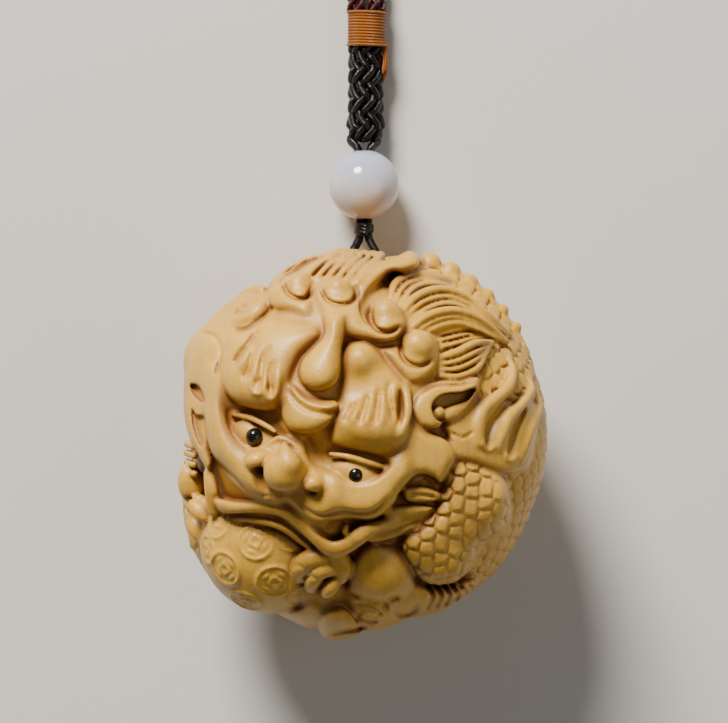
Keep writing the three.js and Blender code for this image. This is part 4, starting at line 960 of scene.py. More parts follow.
# %% Back, flat spot and cord tunnel
lock([[-13.2, 14, 0.4, 0.8], [-14.8, 9, 0.5, 1.1], [-14.4, 4, 0.4, 1], [-12.6, -0.6, 0.2, 0.4]],
     [[3, 18.6, 0, 0.8], [0.6, 14.6, 0.4, 1.1], [-0.8, 10.6, 0.3, 0.9], [-3, 7.4, 0.1, 0.4]], 8, 0.3, -1)
add(strand([[16.6, 11, -0.6, 1.4], [16.8, 6.4, -0.4, 1.5], [15.4, 1.4, -0.4, 1.5], [12.8, -3, -0.4, 1.4],
            [9.6, -6.6, -0.4, 1.2]], -1), 0.8)
for i in range(8):
    t, r = (i / 7) * 1.35 - 0.62, 1.25 - 0.05 * i
    add(knob(1 + 16.4 * math.cos(t), 3 - 15.2 * math.sin(t), 0.5, r, -1), 0.25)
add(lobe(5, -13.2, -1.2, 5.4, 3.8, 2.8, -20, -1), 0.5)
add(lobe(-1.4, -16.2, 0, 2.6, 1.7, 1.7, 15, -1), 0.4)
for i in range(3):
    toe = [[-3.6 + 0.3 * i, -15.4 - 0.9 * i], [-2.4 + 0.2 * i, -15.6 - 0.8 * i], [-1.2, -15.9 - 0.6 * i]]
    mark(scored(toe, 0.4, 0.4, -1))
lock([[9, -8, 0.2, 0.9], [2.4, -9.4, 0.7, 1.2], [-3.4, -9.2, 0.8, 1], [-7.6, -5.4, 0.4, 0.4]],
     [[8.6, -9, 0, 0.9], [2.6, -12, 0.4, 1.2], [-4.6, -13.4, 0.6, 1], [-11.2, -11, 0.3, 0.4]], 4, 0.3, -1)
TUNNEL = smooth_line([[-3.1, 21.1, 5.8, 0.85], [-1.9, 18.5, 8.2, 0.85], [0, 15.4, 11.4, 0.85],
                      [1.9, 18.5, 8.2, 0.85], [3.1, 21.1, 5.8, 0.85]])
cut(rod(TUNNEL), 0.15)
print(len(carved), "forms in all")

# %% [markdown]
# ## From the distance to a mesh
# The distance is worked out on a lattice of cubes, and the surface is where it changes sign. A lattice
# fine enough for the thinnest cut would have millions of points in plain wood or plain air. So the search
# starts with cubes eight times as wide, and only those near the surface are split, first in two and then
# in four.

# %% The distance at any points
BUNCH = 2.5
FAR_OFF = 30.0


def distance(p, reach=0.0):
    """How far points are from the carved surface; forms more than `reach` away are left out."""
    low, high = p.min(0) - reach, p.max(0) + reach
    d = np.full(len(p), FAR_OFF)
    for form in carved:
        soft = form["blend"]
        if np.any(form["low"] - soft > high) or np.any(form["high"] + soft < low):
            continue
        near = np.all((p > form["low"] - soft - reach) & (p < form["high"] + soft + reach), axis=1)
        if not near.any():
            continue
        f = form["at"](p[near])
        if form["kind"] == "add":
            d[near] = soft_min(d[near], f, soft)
        elif form["kind"] == "cut":
            d[near] = -soft_min(-d[near], f, soft)
        else:
            d[near] -= f
    return np.maximum(d, -p[:, 2])


def distance_at(points, reach, chunk=3000):
    """The same for many points, sorted into bunches BUNCH mm wide so that few forms matter to each."""
    order = np.lexsort(((points // BUNCH) % 2 ** 31).T.astype(np.int64))
    found = np.empty(len(points), np.float32)
    for start in range(0, len(points), chunk):
        few = order[start:start + chunk]
        found[few] = distance(points[few], reach)
    return found


print("1 mm under the flat spot the distance is", distance(np.array([[0, 0, -1.0]]), 2.0)[0], "mm")

# %% Find the cubes near the surface
VOXEL = 0.17
CORNER = np.array([-23.0, -24.5, -0.6])
SIZE = np.array([46.0, 48.5, 38.6])
COARSE = 8


def near_surface():
    step = COARSE * VOXEL
    counts = np.ceil(SIZE / step).astype(int)
    cubes = np.stack(np.meshgrid(*(np.arange(n) for n in counts), indexing="ij"), -1).reshape(-1, 3)
    for split_into, margin in ((2, 1.3), (4, 1.75)):
        middles = CORNER + (cubes + 0.5) * step
        far = distance_at(middles, (margin + 0.1) * step)
        cubes = cubes[np.abs(far) < margin * step]
        inner = np.stack(np.meshgrid(*[np.arange(split_into)] * 3, indexing="ij"), -1).reshape(-1, 3)
        cubes = (cubes[:, None] * split_into + inner[None]).reshape(-1, 3)
        step /= split_into
    return cubes, counts * COARSE


cubes, counts = near_surface()
print(f"{len(cubes)} cubes of {VOXEL} mm near the surface, of {np.prod(counts)} in all")

# %% [markdown]
# Every cube that the surface passes through gets one point, at the mean of the places where the surface
# cuts its edges, and every edge that is cut gets one face between its four cubes. This is the method of
# surface nets. It gives even faces and keeps small rounded detail well.

# %% Surface nets
def surface_net(cubes, counts):
    shape = counts + 2
    corners = np.unique(np.ravel_multi_index(
        (cubes[:, None] + np.stack(np.meshgrid(*[[0, 1]] * 3, indexing="ij"), -1).reshape(-1, 3)[None])
        .reshape(-1, 3).T, shape))
    places = np.stack(np.unravel_index(corners, shape), -1)
    found = distance_at(CORNER + places * VOXEL, 1.5 * VOXEL)
    field = np.full(np.prod(shape), np.nan, np.float32)
    field[corners] = found
    steps = np.array([shape[1] * shape[2], shape[2], 1])
    first = np.ravel_multi_index(cubes.T, shape)
    offsets = [sum(steps[k] * (i >> k & 1) for k in range(3)) for i in range(8)]
    value = np.stack([field[first + o] for o in offsets], 1)
    crossed = (value.min(1) < 0) & (value.max(1) >= 0)
    cubes, first, value = cubes[crossed], first[crossed], value[crossed]
    total, hits = np.zeros((len(cubes), 3)), np.zeros(len(cubes))
    for i in range(8):
        for k in range(3):
            if i >> k & 1:
                continue
            a, b = value[:, i], value[:, i | 1 << k]
            cut_here = (a < 0) != (b < 0)
            t = np.where(cut_here, a / np.where(cut_here, a - b, 1), 0)
            spot = np.tile([(i >> n & 1) for n in range(3)], (len(cubes), 1)).astype(float)
            spot[:, k] += t
            total += spot * cut_here[:, None]
            hits += cut_here
    points = CORNER + (cubes + total / hits[:, None]) * VOXEL
    number = np.full(np.prod(shape), -1, np.int64)
    number[first] = np.arange(len(cubes))
    faces = []
    for k in range(3):
        a, b = field[first], field[first + steps[k]]
        u, v = steps[(k + 1) % 3], steps[(k + 2) % 3]
        here = (a < 0) != (b < 0)
        quad = np.stack([number[first[here]], number[first[here] - u], number[first[here] - u - v],
                         number[first[here] - v]], 1)
        turned = a[here] >= 0
        quad[turned] = quad[turned][:, ::-1]
        faces.append(quad[(quad >= 0).all(1)])
    return points, np.concatenate(faces)


points, faces = surface_net(cubes, counts)
print(len(points), "points and", len(faces), "faces")

# %% [markdown]
# The mesh goes to Blender through `foreach_set`, which is much quicker than a list of tuples. One Decimate
# step then spends fewer triangles where the wood is smooth. A vertex group tells it to thin out the
# plainer back more than the face.

# %% The figure's mesh
def new_mesh(name, points, faces):
    """A mesh object from points in the carver's millimetres and faces of four corners."""
    mesh = bpy.data.meshes.new(name)
    mesh.vertices.add(len(points))
    mesh.vertices.foreach_set("co", place(points).astype(np.float32).ravel())
    mesh.loops.add(faces.size)
    mesh.loops.foreach_set("vertex_index", faces.astype(np.int32).ravel())
    mesh.polygons.add(len(faces))
    mesh.polygons.foreach_set("loop_start", np.arange(0, faces.size, faces.shape[1], dtype=np.int32))
    mesh.polygons.foreach_set("use_smooth", np.ones(len(faces), bool))
    mesh.update(calc_edges=True)
    mesh.validate()
    ob = bpy.data.objects.new(name, mesh)
    bpy.context.scene.collection.objects.link(ob)
    return ob


def points_of(ob):
    flat = np.empty(len(ob.data.vertices) * 3, np.float32)
    ob.data.vertices.foreach_get("co", flat)
    return flat.reshape(-1, 3) / MM - SHIFT


def set_number(ob, name, values):
    layer = ob.data.attributes.new(name, "FLOAT", "POINT")
    layer.data.foreach_set("value", np.asarray(values, np.float32))


MOST_TRIANGLES = 196000
figure = new_mesh("pixiu", points, faces)
plainer = figure.vertex_groups.new(name="plainer")
for share, where in ((0.25, points[:, 2] >= EGG_HEIGHT), (1.0, points[:, 2] < EGG_HEIGHT)):
    plainer.add(np.flatnonzero(where).tolist(), share, "REPLACE")
thin = figure.modifiers.new("thin out", "DECIMATE")
thin.ratio = min(1, MOST_TRIANGLES / (2 * len(faces)))
thin.vertex_group = plainer.name
bpy.context.view_layer.objects.active = figure
figure.select_set(True)
bpy.ops.object.modifier_apply(modifier=thin.name)
print("figure has", sum(len(f.vertices) - 2 for f in figure.data.polygons), "triangles")

# %% [markdown]
# A last measure tells how deep in a recess each point lies: a step outward from the surface is taken, and
# where wood is nearer than the step was long, the point is hemmed in. Three lengths of step catch fine
# cuts and deep hollows alike. The painted shade in the recesses is drawn from it.

# %% How deep each point lies
spots = points_of(figure)
outward = np.empty(len(spots) * 3, np.float32)
figure.data.vertex_normals.foreach_get("vector", outward)
outward = outward.reshape(-1, 3)
recess = np.zeros(len(spots))
for length, share in ((0.4, 0.45), (1.1, 0.35), (2.4, 0.3)):
    room = distance_at(spots + outward * length, length)
    recess += share * np.clip((length - room) / length, 0, 1.5)
recess = np.clip(recess, 0, 1)
# This number is used later to paint shade into the recesses.
set_number(figure, "recess", recess)
print("recess from", recess.min().round(2), "to", recess.max().round(2), "mean", recess.mean().round(2))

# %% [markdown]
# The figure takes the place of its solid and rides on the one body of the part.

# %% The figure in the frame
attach(figure, "root")
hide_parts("figure")
print("the figure stands in for its solid")

# %% [markdown]
# ## Finishes
# ### Boxwood
# Boxwood is pale yellow-tan, very fine and dense. Three things make it look real here: a faint streaky
# grain along the block, recesses darkened to orange-brown with painted shade, and a waxed surface whose
# gloss is broken up by the finest tool marks. A thin coat over the satin wood stands for the wax.

# %% Boxwood
boxwood, tree, shader = new_material("boxwood", Coat_Weight=0.1, Coat_Roughness=0.25,
                                     Specular_IOR_Level=0.42)
mottle = use_group(tree, speckle, Fine_size_mm=0.5, Broad_size_mm=7.0, Fine_share=0.35)
body = put(tree, "ShaderNodeTexCoord").outputs["Object"]
stretch = put(tree, "ShaderNodeMapping", {"Vector": body, "Rotation": (0.2, 0.35, 0.1),
                                          "Scale": (1400, 120, 1400)})
streak = put(tree, "ShaderNodeTexNoise", {"Vector": stretch.outputs[0], "Scale": 1.0, "Detail": 3.0})
both = mixed(tree, 0.3, mottle.outputs["Mask"], streak.outputs["Fac"])
wood = put(tree, "ShaderNodeValToRGB", {"Fac": both})
wood.color_ramp.elements[0].position, wood.color_ramp.elements[1].position = 0.3, 0.68
wood.color_ramp.elements[0].color = (0.47, 0.235, 0.027, 1)
wood.color_ramp.elements[1].color = (0.69, 0.395, 0.046, 1)
# Painted shade: the recesses are darkened towards orange-brown (0.25, 0.10, 0.018) by this mask.
painted_shade = use_group(tree, recess_shade, Start=0.16, Full=0.85, Break_up=0.3)
toned = mixed_colour(tree, painted_shade.outputs["Mask"], wood.outputs["Color"], (0.25, 0.10, 0.018, 1))
tree.links.new(toned, shader.inputs["Base Color"])
print("boxwood has", len(tree.nodes), "nodes")

# %% [markdown]
# The gloss follows the same two masks: worn high places are smoother than the recesses. The bump is only
# the finest stipple and the streaks of the grain, less than a tenth of a millimetre high.

# %% Boxwood's gloss and stipple
gloss = maths(tree, "MULTIPLY_ADD", painted_shade.outputs["Mask"], 0.22, 0.30)
gloss = maths(tree, "MULTIPLY_ADD", mottle.outputs["Fine"], 0.2, gloss)
tree.links.new(gloss, shader.inputs["Roughness"])
stipple = put(tree, "ShaderNodeTexNoise", {"Vector": body, "Scale": 5200.0, "Detail": 3.0})
grain = maths(tree, "MULTIPLY_ADD", streak.outputs["Fac"], 0.2, stipple.outputs["Fac"])
bumps = put(tree, "ShaderNodeBump", {"Height": grain, "Distance": 0.08 * MM, "Strength": 0.6})
tree.links.new(bumps.outputs[0], shader.inputs["Normal"])
figure.data.materials.clear()
figure.data.materials.append(boxwood)
print("boxwood now has", len(tree.nodes), "nodes")

# %% [markdown]
# ### Eyes
# The eyes are beads of black resin, wet-looking and faintly cloudy inside.

# %% Black eyes
black_eye, tree, shader = new_material("black eye", Specular_IOR_Level=0.35, Coat_Weight=0.25,
                                       Coat_Roughness=0.03)
cloud = use_group(tree, speckle, Fine_size_mm=0.2, Broad_size_mm=1.0, Fine_share=0.5)
tint = mixed_colour(tree, cloud.outputs["Mask"], (0.004, 0.0035, 0.003, 1), (0.012, 0.009, 0.007, 1))
tree.links.new(tint, shader.inputs["Base Color"])
wet = maths(tree, "MULTIPLY_ADD", cloud.outputs["Fine"], 0.1, 0.08)
tree.links.new(wet, shader.inputs["Roughness"])
print("black eye has", len(tree.nodes), "nodes")

# %% [markdown]
# ### Agate
# The bead is milky agate: light goes a little way in. It is clouded in soft bands across the bore, bluish
# at the top and warmer below, and polished. The bands are placed by the bead's own middle and radius, as
# the carver measures them.

# %% Milky agate
BEAD_Y, BEAD_RADIUS = 29.578, 4.0
agate, tree, shader = new_material("agate", Roughness=0.12, Subsurface_Weight=0.55,
                                   Subsurface_Scale=1.5 * MM, Coat_Weight=0.3, Coat_Roughness=0.04)
shader.inputs["Subsurface Radius"].default_value = (1.0, 0.8, 0.7)
body = put(tree, "ShaderNodeTexCoord").outputs["Object"]
warped = put(tree, "ShaderNodeTexNoise", {"Vector": body, "Scale": 260.0, "Detail": 3.0})
lift = put(tree, "ShaderNodeSeparateXYZ", {0: body})
height = put(tree, "ShaderNodeMapRange",
             {"Value": lift.outputs["Y"], "From Min": (BEAD_Y - BEAD_RADIUS) * MM,
              "From Max": (BEAD_Y + BEAD_RADIUS) * MM})
height = maths(tree, "MULTIPLY_ADD", warped.outputs["Fac"], 0.5, height.outputs[0])
cloud = put(tree, "ShaderNodeValToRGB", {"Fac": height})
cloud.color_ramp.elements[0].position, cloud.color_ramp.elements[1].position = 0.25, 1.1
cloud.color_ramp.elements[0].color = (0.54, 0.41, 0.34, 1)
cloud.color_ramp.elements[1].color = (0.40, 0.43, 0.56, 1)
middle = cloud.color_ramp.elements.new(0.7)
middle.color = (0.53, 0.50, 0.54, 1)
tree.links.new(cloud.outputs["Color"], shader.inputs["Base Color"])
print("agate has", len(tree.nodes), "nodes")

# %% [markdown]
# ### Threads
# The three threads are alike: satin nylon whose fibres glint. Only the colours and how fine the fibres are
# differ, so one function makes them all.

# %% Threads
def thread_material(name, dark, light, count, twist, sheen, roughness):
    material, tree, shader = new_material(name, Sheen_Weight=sheen, Sheen_Roughness=0.35,
                                          Specular_IOR_Level=0.35)
    fibres = use_group(tree, fibre, Count=count, Twist_per_mm=twist)
    mottle = use_group(tree, speckle, Fine_size_mm=0.15, Broad_size_mm=2.2, Fine_share=0.45)
    both = mixed(tree, 0.55, fibres.outputs["Mask"], mottle.outputs["Mask"])
    tint = mixed_colour(tree, both, (*dark, 1), (*light, 1))
    tree.links.new(tint, shader.inputs["Base Color"])
    worn = maths(tree, "MULTIPLY_ADD", mottle.outputs["Fine"], 0.25, roughness)
    tree.links.new(worn, shader.inputs["Roughness"])
    bumps = put(tree, "ShaderNodeBump", {"Height": fibres.outputs["Mask"], "Distance": 0.06 * MM,
                                         "Strength": 0.6})
    tree.links.new(bumps.outputs[0], shader.inputs["Normal"])
    shader.inputs["Sheen Tint"].default_value = (*[min(1, 3 * c + 0.2) for c in light], 1)
    return material


black_thread = thread_material("black thread", (0.0015, 0.001, 0.0015), (0.010, 0.006, 0.008), 9, 0.7, 0.02,
                               0.08)
gold_thread = thread_material("gold thread", (0.13, 0.028, 0.003), (0.40, 0.125, 0.008), 7, 1.2, 0.06, 0.2)
maroon_thread = thread_material("maroon thread", (0.010, 0.0015, 0.002), (0.07, 0.010, 0.011), 7, 0.9, 0.08,
                                0.12)
print("threads:", black_thread.name, gold_thread.name, maroon_thread.name)

# %% [markdown]
# ## Cords, braids and windings
# Everything on the lanyard is thread, wound or plaited round a line. So it is all made from one thing, a
# tube that follows a line: first the line itself at even steps, then a frame of two directions square to
# it at each step, carried along so that it never flips.

# %% A line and its frames
def cord_line(points, step=0.25):
    """A smooth line through the points of a cord, at even steps in mm."""
    p = np.array(points, float)
    p = np.vstack([2 * p[0] - p[1], p, 2 * p[-1] - p[-2]])
    line = []
    for a, b, c, d in zip(p, p[1:], p[2:], p[3:]):
        s, t, u = (max(np.linalg.norm(w - v) ** 0.5, 1e-3) for v, w in ((a, b), (b, c), (c, d)))
        leave = ((b - a) / s - (c - a) / (s + t) + (c - b) / t) * t
        arrive = ((c - b) / t - (d - b) / (t + u) + (d - c) / u) * t
        x = np.linspace(0, 1, 60, endpoint=False)[:, None]
        line.append(b + x * (leave + x * (3 * (c - b) - 2 * leave - arrive
                                          + x * (2 * (b - c) + leave + arrive))))
    line = np.vstack([*line, p[-2:-1]])
    along = length_along(line)
    even = np.linspace(0, along[-1], max(int(along[-1] / step), 2) + 1)
    return np.stack([np.interp(even, along, line[:, k]) for k in range(3)], 1)


def length_along(line):
    return np.concatenate([[0], np.cumsum(np.linalg.norm(np.diff(line, axis=0), axis=1))])


def frames(line):
    way = np.gradient(line, axis=0)
    way /= np.linalg.norm(way, axis=1)[:, None]
    up = np.cross(way[0], (0.0, 0.0, 1.0) if abs(way[0][2]) < 0.9 else (1.0, 0.0, 0.0))
    ups = []
    for w in way:
        up = up - w * (up @ w)
        up = up / np.linalg.norm(up)
        ups.append(up)
    ups = np.array(ups)
    return ups, np.cross(way, ups)


print("a straight line of 3 mm in steps of 1 mm has", len(cord_line([(0, 0, 0), (3, 0, 0)], 1)), "points")

# %% Tubes
def tube(line, radius, count=12, rounded=True):
    """Rings of points round a line. The radius is a number, or one for each ring (and point)."""
    ups, sides = frames(line)
    s = length_along(line)
    r = np.ones((len(line), count)) * (radius if np.ndim(radius) != 1 else np.asarray(radius)[:, None])
    if rounded:
        blunt = np.minimum(np.minimum(s, s[-1] - s) / (0.8 * r.mean()), 1)
        r = r * np.sqrt(np.maximum(1 - (1 - blunt) ** 2, 1e-4))[:, None]
    turn = 2 * math.pi * np.arange(count) / count
    rings = line[:, None] + r[:, :, None] * (np.cos(turn)[None, :, None] * ups[:, None]
                                             + np.sin(turn)[None, :, None] * sides[:, None])
    return rings, s


print("rings of a tube:", tube(cord_line([(0, 0, 0), (3, 0, 0)]), 0.5)[0].shape)

# %% [markdown]
# A piece may be one tube or many. Its faces carry the two numbers that the fibre effect reads. They are
# kept at the faces' corners, so that the last face of each ring runs up to a full turn and shows no seam.

# %% Tubes into one piece
def piece(name, tubes, slot, material, *nodes, join=False):
    points, faces, along, around = [], [], [], []
    base = 0
    for rings, s in tubes:
        n, m = rings.shape[:2]
        number = base + np.arange(n * m).reshape(n, m)
        if join:
            number, s = np.vstack([number, number[:1]]), np.append(s, 2 * s[-1] - s[-2])
        after = np.roll(number, -1, 1)
        faces.append(np.stack([number[:-1], after[:-1], after[1:], number[1:]], -1).reshape(-1, 4))
        share = np.arange(m) / m
        turn = np.stack([share, share + 1 / m, share + 1 / m, share], -1)
        around.append(np.tile(turn, (len(number) - 1, 1)).ravel())
        along.append(np.repeat(np.stack([s[:-1], s[:-1], s[1:], s[1:]], -1), m, axis=0).ravel())
        points.append(rings.reshape(-1, 3))
        base += n * m
    ob = new_mesh(name, np.concatenate(points), np.concatenate(faces))
    for title, values in (("along", along), ("around", around)):
        layer = ob.data.attributes.new(title, "FLOAT", "CORNER")
        layer.data.foreach_set("value", np.concatenate(values).astype(np.float32))
    ob.data.materials.append(material)
    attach(ob, "root")
    if nodes:
        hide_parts(*nodes)
    return ob


print("a piece carries the numbers along and around at its faces' corners")

# %% [markdown]
# ### Plaits
# A round plait is a set of threads that wind one way round the line and a set that wind the other way.
# Where two cross, one is over and one under, and each goes over two, then under two, which gives the rows
# of small slanting stitches. RISE is how far a thread rises over another, as a share of its radius.

# %% A plait
RISE = 0.62


def plait(line, radius, thread, ways, crossing, count):
    """`ways` threads of radius `thread` wind each way round the line and cross every `crossing` mm."""
    ups, sides = frames(line)
    s = length_along(line)
    tubes = []
    for hand in (1, -1):
        for k in range(ways):
            turn = hand * math.pi * s / (ways * crossing) + 2 * math.pi * k / ways
            over = hand * RISE * thread * np.sin(math.pi * s / crossing / 2 + math.pi / 4) * math.sqrt(2)
            over = np.clip(over, -RISE * thread, RISE * thread)
            lift = (radius - 1.5 * thread + over)[:, None]
            centre = line + lift * (np.cos(turn)[:, None] * ups + np.sin(turn)[:, None] * sides)
            tubes.append(tube(centre, thread, count, rounded=False))
    return tubes


print("a plait of 4 ways has", len(plait(cord_line([(0, 0, 0), (9, 0, 0)]), 2, 0.4, 4, 0.8, 6)), "threads")

# %% [markdown]
# ### The lanyard's own measures
# These are the solid model's sizes again: where each piece lies on the cord, measured as the carver
# measures, and the points of each cord's route. The bead lies on the table, so its radius is also its
# height. The handle's two sides are alike, but for its legs, which leave the wrap a little to the right.

# %% Sizes and routes of the cords
CORD = 0.5
BEAD_BORE = 0.95
BRAID_LENGTH, BRAID_WIDE, BRAID_X, BRAID_HEIGHT = 10.2, 4.1, 0.2, 2.35
WRAP_LENGTH, WRAP_WIDE, WRAP_X, WRAP_HEIGHT = 4.4, 4.8, 0.3, 2.45
KNOT_Y, FORK_Y, WRAP_Y, HANDLE_Y = 24.6, 34.778, 45.278, 49.978
HANDLE_CORD, HANDLE_REACH, HANDLE_WIDE, HANDLE_LEG, HANDLE_HEIGHT = 1.1, 56.0, 8.5, 1.18, 1.2
HANG_LOOP = [(-0.6, 23.35, 4.1), (-1.6, 21.3, 5.4), (-1.9, 18.5, 8.2), (0, 15.4, 11.4),
             (1.9, 18.5, 8.2), (1.6, 21.3, 5.4), (0.6, 23.35, 4.1)]
NEAR, MIDWAY, WIDEST, FAR = (HANDLE_Y + share * HANDLE_REACH for share in (0.08, 0.26, 0.58, 0.86))
HANDLE = [(WRAP_X - HANDLE_LEG, HANDLE_Y, WRAP_HEIGHT), (-HANDLE_LEG, NEAR, 1.7),
          (-0.3 * HANDLE_WIDE, MIDWAY, HANDLE_HEIGHT), (-0.85 * HANDLE_WIDE, WIDEST, HANDLE_HEIGHT),
          (-0.8 * HANDLE_WIDE, FAR, HANDLE_HEIGHT), (0, HANDLE_Y + HANDLE_REACH, HANDLE_HEIGHT),
          (0.8 * HANDLE_WIDE, FAR, HANDLE_HEIGHT), (0.85 * HANDLE_WIDE, WIDEST, HANDLE_HEIGHT),
          (0.3 * HANDLE_WIDE, MIDWAY, HANDLE_HEIGHT), (WRAP_X + HANDLE_LEG, NEAR, 1.7),
          (WRAP_X + HANDLE_LEG, HANDLE_Y, WRAP_HEIGHT)]
print("the lanyard reaches from", HANG_LOOP[3][1], "to", HANDLE_Y + HANDLE_REACH, "mm")

# %% [markdown]
# ### Knot, strands and bead
# The thin cords are laid from three plies, so a tube gets a dip between each two. Each cord runs on a
# little inside the knot, bead, braid or wrap that it goes into, so no gap shows there. The knot is two and
# a half close turns round a core. The bead is a ball turned round the cord, with its bore left open.

# %% A twisted cord
def twisted(line, radius, lobes=3, pitch=2.4, deep=0.1, count=18):
    """A cord laid from a few plies: its radius dips between them and winds along."""
    s = length_along(line)[:, None] / pitch
    turn = (np.arange(count) / count)[None]
    dip = np.abs(np.cos(math.pi * lobes * (turn + s)))
    return tube(line, radius * (1 - deep + deep * np.sqrt(dip)), count)


print("rings of a twisted cord:", twisted(cord_line([(0, 0, 0), (3, 0, 0)]), CORD)[0].shape)

# %% Hang loop and strands
FINE_STEP = 0.12
in_knot = [(0.35 * side, KNOT_Y - 0.2, 4.05) for side in (-1, 1)]
hang_line = cord_line([in_knot[0], *HANG_LOOP, in_knot[1]], FINE_STEP)
hang_loop = piece("hang_loop_cord", [twisted(hang_line, CORD)], "black_cord", black_thread, "hang_loop")
for side, node in ((-1, "left_strand"), (1, "right_strand")):
    route = cord_line([(0.45 * side, KNOT_Y + 0.3, BEAD_RADIUS), (0.5 * side, BEAD_Y - 3, BEAD_RADIUS),
                       (0.6 * side, BEAD_Y, BEAD_RADIUS), (0.7 * side, BEAD_Y + BEAD_RADIUS, 3.9),
                       (1.5 * side, FORK_Y - 0.1, 2.6), (1.4 * side, FORK_Y + 0.6, 2.4)], FINE_STEP)
    piece(node + "_cord", [twisted(route, CORD)], "black_cord", black_thread, node)

# %% Knot
TURNS, COIL_RADIUS, COIL_LENGTH, COIL_CORD = 2.5, 0.7, 1.04, 0.46
s = np.linspace(0, 1, 90)
coil = 2 * math.pi * (0.15 + TURNS * s)
knot_line = np.stack([COIL_RADIUS * np.cos(coil), KNOT_Y - COIL_LENGTH / 2 + COIL_LENGTH * s,
                      BEAD_RADIUS + COIL_RADIUS * np.sin(coil)], 1)
core = cord_line([(0, KNOT_Y - 0.7, BEAD_RADIUS), (0, KNOT_Y + 0.7, BEAD_RADIUS)], 0.1)
knot = piece("knot", [twisted(knot_line, COIL_CORD), tube(core, 0.6)], "black_cord", black_thread,
             "lower_knot")
print("knot of", TURNS, "turns")

# %% Bead
tilt = np.linspace(-1, 1, 49) * (math.pi / 2 - math.asin(BEAD_BORE / BEAD_RADIUS))
profile = np.concatenate([np.stack([BEAD_RADIUS * np.cos(tilt), BEAD_RADIUS * np.sin(tilt)], 1),
                          [[BEAD_BORE, h * BEAD_RADIUS * 0.9] for h in (0.8, 0.3, -0.3, -0.8)]])
spin = 2 * math.pi * np.arange(72) / 72
rings = np.stack([profile[:, None, 0] * np.cos(spin), BEAD_Y + profile[:, None, 1] + 0 * spin,
                  BEAD_RADIUS - profile[:, None, 0] * np.sin(spin)], -1)
bead = piece("bead", [(rings, length_along(profile))], "agate", agate, "agate_bead", join=True)
print("bead", 2 * BEAD_RADIUS, "mm across with a bore of", 2 * BEAD_BORE, "mm")

# %% [markdown]
# ### Braid, wrap and handle
# The braid is plaited from eight threads each way. It narrows where the two strands enter it and swells
# just above them. A plain tube inside closes the small openings between the threads.

# %% Black braid
INSIDE = 0.5
braid_line = cord_line([(BRAID_X, FORK_Y, BRAID_HEIGHT),
                        (BRAID_X, FORK_Y + BRAID_LENGTH + INSIDE, BRAID_HEIGHT)], FINE_STEP)
s = length_along(braid_line) / BRAID_LENGTH
braid_radius = np.interp(s, [0, 0.05, 0.16, 0.3, 1], [0.8, 0.94, 1.1, 1, 0.98]) * BRAID_WIDE / 2
braid_tubes = plait(braid_line, braid_radius, thread=0.42, ways=8, crossing=0.85, count=9)
inner = tube(braid_line, braid_radius - 1.25, 24)
braid = piece("braid", [*braid_tubes, inner], "black_cord", black_thread, "black_braid")
print("braid of", len(braid_tubes), "threads")

# %% [markdown]
# The gold thread is one long winding over a core, a little wider at both rims. Four loose ends of it lie
# down the right edge of the braid.

# %% Thread wrap
THREAD = 0.17
RIM = 0.22
windings = int(WRAP_LENGTH / (2 * THREAD))
s = np.linspace(0, 1, windings * 48)
swell = WRAP_WIDE / 2 - THREAD - RIM * (1 - np.clip(np.abs(2 * s - 1) * 4 - 3, 0, 1))
swirl = 2 * math.pi * windings * s
wrap_line = np.stack([WRAP_X + swell * np.cos(swirl), WRAP_Y + THREAD + (WRAP_LENGTH - 2 * THREAD) * s,
                      WRAP_HEIGHT + swell * np.sin(swirl)], 1)
core = cord_line([(WRAP_X, WRAP_Y + 0.1, WRAP_HEIGHT), (WRAP_X, WRAP_Y + WRAP_LENGTH - 0.1, WRAP_HEIGHT)],
                 0.2)
wrap_tubes = [tube(wrap_line, THREAD * 1.08, 8), tube(core, WRAP_WIDE / 2 - 2 * THREAD - 0.2, 32)]
for k in range(4):
    x, z, end = 2.25 + 0.22 * (k % 2), 2.75 + 0.32 * (k // 2), WRAP_Y - 3.7 + 0.3 * k
    loose = cord_line([(x, WRAP_Y + 0.4, z), (x + 0.06, WRAP_Y - 1.6, z + 0.05), (x - 0.05 * k, end, z)],
                      0.15)
    wrap_tubes.append(tube(loose, 1.1 * THREAD, 8))
wrap = piece("thread_wrap", wrap_tubes, "gold_thread", gold_thread, "gold_wrap")
print("wrap of", windings, "windings")

# %% [markdown]
# The handle is a finer plait of four threads each way. It is declared as a cord, by the route between the
# two places where it comes out of the wrap; the plait itself runs on a little way inside.

# %% Handle loop
handle_line = cord_line(HANDLE)
in_wrap = [(x, HANDLE_Y - INSIDE, WRAP_HEIGHT) for x in (HANDLE[0][0], HANDLE[-1][0])]
handle_way = cord_line([in_wrap[0], *HANDLE, in_wrap[1]])
handle_tubes = plait(handle_way, HANDLE_CORD, thread=0.3, ways=4, crossing=0.75, count=7)
handle = piece("handle_cord", [*handle_tubes, tube(handle_way, HANDLE_CORD / 2, 8)], "maroon_cord",
               maroon_thread, "handle_loop")

# %% [markdown]
# ### The inlaid eyes
# Each eye is a whole bead in a pocket, so only its front shows.

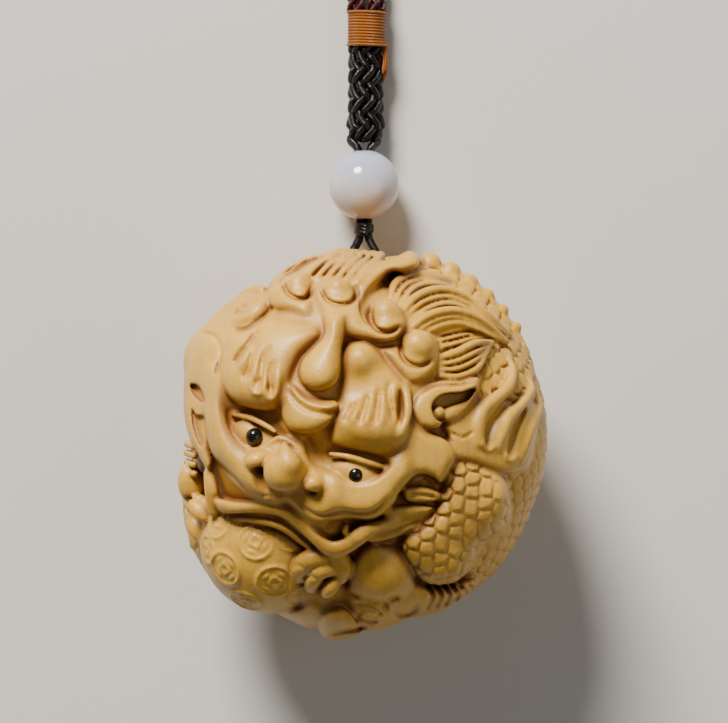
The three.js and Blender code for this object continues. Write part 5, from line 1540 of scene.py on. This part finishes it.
# %% Eyes
for node in ("left_eye", "right_eye"):
    middle = middle_of(node) - SHIFT
    tilt = np.linspace(-0.5, 0.5, 33) * math.pi
    r, h = EYE_RADIUS * np.cos(tilt), EYE_RADIUS * np.sin(tilt)
    spin = 2 * math.pi * np.arange(48) / 48
    rings = middle + np.stack([r[:, None] * np.cos(spin), r[:, None] * np.sin(spin),
                               h[:, None] + 0 * spin], -1)
    piece(node + "_bead", [(rings, h)], "eye", black_eye, node)
print("eyes of", 2 * EYE_RADIUS, "mm, standing", EYE_PROUD, "mm proud")

# %% [markdown]
# ## Table and light
# A plain pale table and a soft studio light. The big lamp stands above the figure's crown and a little to
# its left, as the light falls in the photograph, so the lower half is darker; a weak second lamp keeps the
# shadows open.

# %% Table and light
REACH = 3
AIM = (0, 0.005, 0.015)
WARM = (1.0, 0.95, 0.86)
LAMPS = [("window", (-0.24, 0.58, 0.45), 0.3, 15.0), ("fill", (0.45, -0.1, 0.6), 0.6, 1.2)]
floor_mesh = bpy.data.meshes.new("table")
floor_mesh.from_pydata([(-REACH, -REACH, 0), (REACH, -REACH, 0), (REACH, REACH, 0), (-REACH, REACH, 0)],
                       [], [(0, 1, 2, 3)])
table = bpy.data.objects.new("table", floor_mesh)
bpy.context.scene.collection.objects.link(table)
pale, tree, shader = new_material("pale table", Base_Color=(0.62, 0.61, 0.59, 1), Roughness=0.85)
floor_mesh.materials.append(pale)

for name, spot, size, power in LAMPS:
    lamp = bpy.data.objects.new(name, bpy.data.lights.new(name, "AREA"))
    lamp.data.shape, lamp.data.size, lamp.data.energy = "DISK", size, power
    lamp.data.color = WARM
    lamp.location = spot
    lamp.rotation_euler = (Vector(AIM) - Vector(spot)).to_track_quat("-Z", "Y").to_euler()
    bpy.context.scene.collection.objects.link(lamp)
world = bpy.data.worlds.new("room")
bpy.context.scene.world = world
world.use_nodes = True
world.node_tree.nodes["Background"].inputs["Color"].default_value = (0.85, 0.88, 0.92, 1)
world.node_tree.nodes["Background"].inputs["Strength"].default_value = 0.1
print("lamps:", ", ".join(name for name, *_ in LAMPS))
